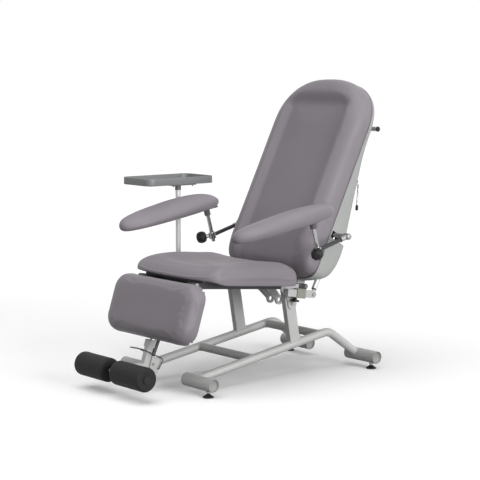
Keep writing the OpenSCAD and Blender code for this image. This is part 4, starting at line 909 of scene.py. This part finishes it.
def makeWelds(s):
    bm = bmesh.new()
    steps = np.radians(np.linspace(0, 360, s["steps"], endpoint=False))
    slope = math.radians(s["slope"])
    rear = Vector((s["rear"][0] - s["fall"][0], s["rear"][1] - s["fall"][1])).normalized()
    railEnds = (((-s["footY"], s["frontZ"]), (math.cos(slope), math.sin(slope)), -s["footY"]),
                (s["rear"], (-rear.x, -rear.y), s["footY"]))

    def railZ(y):
        return s["frontZ"] + (y + s["footY"]) * math.tan(slope)

    for turn in sides.values():
        for y in s["crossY"]:
            r = s["crossR"] + s["offCross"]
            across = r * np.sin(steps - slope)
            x = s["railX"] - np.sqrt(np.maximum((s["railR"] + s["offCross"]) ** 2 - across ** 2, 0))
            weldRing(bm, s, x, y + r * np.cos(steps), railZ(y) + r * np.sin(steps), turn)
        for start, run, footY in railEnds:
            r, big = s["railR"] + s["offFoot"], s["footR"] + s["offFoot"]
            lift = r * np.sin(steps)
            py, pz = start[0] - run[1] * lift - footY, start[1] + run[0] * lift - s["footZ"]
            half = py * run[0] + pz * run[1]
            t = -half + np.sqrt(np.maximum(half * half - (py * py + pz * pz - big * big), 0))
            weldRing(bm, s, s["railX"] + r * np.cos(steps), start[0] + t * run[0] - run[1] * lift,
                     start[1] + t * run[1] + run[0] * lift, turn)
        halfX, halfY = (width / 2 + s["offUpright"] for width in s["upright"])
        loop = dense(roundRect(halfX, halfY, s["uprightCorner"], 8), s["uprightStep"])
        top = np.sqrt(np.maximum((s["railR"] + s["offRail"]) ** 2 - loop[:, 0] ** 2, 0)) / math.cos(slope)
        y = s["uprightY"] + loop[:, 1] - np.tan(math.radians(s["lean"])) * top
        weldRing(bm, s, s["railX"] + loop[:, 0], y, railZ(y) + top, turn)
    finishPiece("baseWelds", bm, "frame_paint", "base")


makeWelds(weldLook)
print("caps and welds done")

# recline lever: a bright bent rod with a soft black tip
leverLook = {
    "rod": 0.0042, "tipR": 0.0068, "tipLength": 0.026, "tipOver": 0.72, "tipRound": 0.8,
    "path": [(0.196, -0.004, 0.541), (0.246, -0.004, 0.541), (0.2525, -0.002, 0.5415),
             (0.2525, 0.052, 0.5475), (0.2525, 0.0605, 0.5425), (0.2525, 0.100, 0.4415)],
}


def makeLever(s):
    path = np.array(s["path"])
    bm = bmesh.new()
    rodAlong(bm, roundLine(path, 4), s["rod"], backPlace, 6)
    finishPiece("reclineLever", bm, "chrome", "recline_lever", ["recline_lever"])
    end, way = Vector(path[-1]), (Vector(path[-1]) - Vector(path[-2])).normalized()
    r, length, rounding = s["tipR"], s["tipLength"], s["tipR"] * s["tipRound"]
    line = [(0, 0), (r - 0.002, 0), (r - 0.0012, 0.0012), (r, 0.006), (r, length - rounding)]
    arc = np.radians(np.linspace(15, 90, 6))
    line += [(r * math.cos(a), length - rounding + rounding * math.sin(a)) for a in arc]
    place = (backPlace @ Matrix.Translation(end - way * length * s["tipOver"])
             @ way.to_track_quat("Z", "Y").to_matrix().to_4x4())
    bm = bmesh.new()
    turned(bm, line, place, 28)
    finishPiece("leverTip", bm, "black_plastic", "recline_lever")


makeLever(leverLook)

# a soft black liner of the lever's slot; it lies inside the side of the shell
grommetLook = {"at": (0.2845, 0.004, 0.547), "size": (0.004, 0.026, 0.015), "soft": 0.3}


def makeGrommet(s):
    bm = bmesh.new()
    part = bmesh.new()
    bmesh.ops.create_cube(part, size=1)
    bmesh.ops.scale(part, verts=part.verts, vec=s["size"])
    bevelEdges(part, s["size"][0] * s["soft"], 3, 40)
    addPart(bm, part, backPlace @ shift(*s["at"]))
    finishPiece("leverGrommet", bm, "black_plastic", "back")


makeGrommet(grommetLook)

# recline and leg springs: a wiper ring where the rod comes out, and a band round the tube's foot end
ringLook = {
    "play": 0.0006,
    "wiper": [(-0.004, 0.0035), (-0.002, 0.002), (-0.0006, 0), (0.0003, -0.001), (0.0003, -0.006),
              (-0.001, -0.007)],
    "band": [(-0.001, 0.007), (0.0003, 0.006), (0.0003, 0.001), (-0.001, -0.0005), (-0.001, 0.007)],
    "springs": [
        {"body": "recline_spring_tube", "foot": (0.243, 0.161, 0.3885), "angle": 28.215,
         "neck": 0.0238, "length": 0.190, "r": 0.012, "rod": 0.005},
        {"body": "leg_spring_tube", "foot": (0, -0.599023, 0.118818), "angle": 24.984,
         "neck": 0.018, "length": 0.200, "r": 0.009, "rod": 0.004},
    ],
}


def makeSpringRings(s, look):
    place = shift(*s["foot"]) @ turnX(-s["angle"])
    neck, top, r, bore = s["neck"], s["neck"] + s["length"], s["r"], s["rod"] + look["play"]
    wiper = [(r + out, top + up) for out, up in look["wiper"]]
    bm = bmesh.new()
    turned(bm, [(bore, top), (bore, wiper[0][1]), *wiper, (bore, top)], place, 40)
    turned(bm, [(r + out, neck + up) for out, up in look["band"]], place, 40)
    finishPiece(s["body"] + "Rings", bm, "black_plastic", s["body"])


for spring in ringLook["springs"]:
    makeSpringRings(spring, ringLook)

# a welt between the back cushion and the shell
pipingLook = {"r": 0.0018, "out": 0.0008, "back": 0.0477, "step": 0.006}


def makePiping(s):
    b = backLook
    outline = backOutline(b["halfW"] + s["out"], b["foot"], b["top"] + s["out"], b["crown"], b["chin"])
    bm = bmesh.new()
    points = [(x, -s["back"], v + backMiddle) for x, v in dense(outline, s["step"])]
    rodAlong(bm, points, s["r"], backPlace, 3, closed=True)
    finishPiece("backPiping", bm, "vinyl", "back")


makePiping(pipingLook)
print("lever, springs and piping done")

# camera, lamps, world and floor
studio = {
    "camera": (5.383, -4.507, 1.467), "towards": (-0.7665, 0.6312, -0.1179), "lens": 112.5,
    "world": 0.12, "floor": 0.95, "bounce": 0.14, "glow": 0.10, "floorHalf": 14,
    "suns": [
        {"from": (0, -0.3, 0.95), "spread": 65, "strength": 1.9},
        {"from": (0.96, 0.05, 0.22), "spread": 32, "strength": 2.5},
        {"from": (0.80, -0.55, 0.24), "spread": 40, "strength": 0.9},
        {"from": (0.60, 0.70, 0.40), "spread": 50, "strength": 0.4},
    ],
}


# 1 for a ray that comes from the camera, a mirror or glass
def seenRay(nodes, links):
    path = nodes.new("ShaderNodeLightPath")
    total = path.outputs["Is Camera Ray"]
    for name in ("Is Glossy Ray", "Is Transmission Ray"):
        either = nodes.new("ShaderNodeMath")
        either.operation = "MAXIMUM"
        links.new(total, either.inputs[0])
        links.new(path.outputs[name], either.inputs[1])
        total = either.outputs[0]
    return total


# plain white where it is seen, and dimmer as a lamp
def makeWorld(s):
    world = bpy.data.worlds.new("studio")
    bpy.context.scene.world = world
    world.use_nodes = True
    nodes, links = world.node_tree.nodes, world.node_tree.links
    nodes.clear()
    seen = seenRay(nodes, links)
    soft, plain, mix, out = (nodes.new("ShaderNode" + kind) for kind in (
        "Background", "Background", "MixShader", "OutputWorld"))
    for shader, strength in ((soft, s["world"]), (plain, 1)):
        shader.inputs["Color"].default_value = (1, 1, 1, 1)
        shader.inputs["Strength"].default_value = strength
    links.new(seen, mix.inputs["Fac"])
    links.new(soft.outputs[0], mix.inputs[1])
    links.new(plain.outputs[0], mix.inputs[2])
    links.new(mix.outputs[0], out.inputs["Surface"])


# nearly white where it is seen, and dark where it throws light back at the chair
def makeFloor(s):
    bm = bmesh.new()
    bmesh.ops.create_grid(bm, x_segments=1, y_segments=1, size=s["floorHalf"])
    mesh = bpy.data.meshes.new("floor")
    bm.to_mesh(mesh)
    bm.free()
    floor = newObject("floor", mesh)
    material = bpy.data.materials.new("floor")
    material.use_nodes = True
    nodes, links = material.node_tree.nodes, material.node_tree.links
    nodes.clear()
    matte, glow, add, scale, out = (nodes.new("ShaderNode" + kind) for kind in (
        "BsdfDiffuse", "Emission", "AddShader", "Math", "OutputMaterial"))
    seen = seenRay(nodes, links)
    tone = nodes.new("ShaderNodeMix")
    tone.data_type = "RGBA"
    tone.inputs["A"].default_value = (s["bounce"], s["bounce"], s["bounce"], 1)
    tone.inputs["B"].default_value = (s["floor"], s["floor"], s["floor"], 1)
    links.new(seen, tone.inputs["Factor"])
    links.new(tone.outputs["Result"], matte.inputs["Color"])
    glow.inputs["Color"].default_value = (1, 1, 1, 1)
    scale.operation = "MULTIPLY"
    scale.inputs[1].default_value = s["glow"]
    links.new(seen, scale.inputs[0])
    links.new(scale.outputs[0], glow.inputs["Strength"])
    links.new(matte.outputs[0], add.inputs[0])
    links.new(glow.outputs[0], add.inputs[1])
    links.new(add.outputs[0], out.inputs["Surface"])
    mesh.materials.append(material)


def makeStudio(s):
    scene = bpy.context.scene
    scene.view_settings.view_transform = "Standard"
    makeWorld(s)
    makeFloor(s)
    for number, lamp in enumerate(s["suns"]):
        light = bpy.data.lights.new("sun%d" % number, "SUN")
        light.energy = lamp["strength"]
        light.angle = math.radians(lamp["spread"])
        holder = newObject("sun%d" % number, light)
        holder.rotation_euler = (-Vector(lamp["from"])).to_track_quat("-Z", "Y").to_euler()
    camera = bpy.data.cameras.new("camera")
    camera.lens = s["lens"]
    camera.sensor_width = 36
    camera.clip_end = 60
    holder = newObject("camera", camera)
    holder.location = s["camera"]
    holder.rotation_euler = Vector(s["towards"]).to_track_quat("-Z", "Y").to_euler()
    scene.camera = holder


makeStudio(studio)
print("studio done")
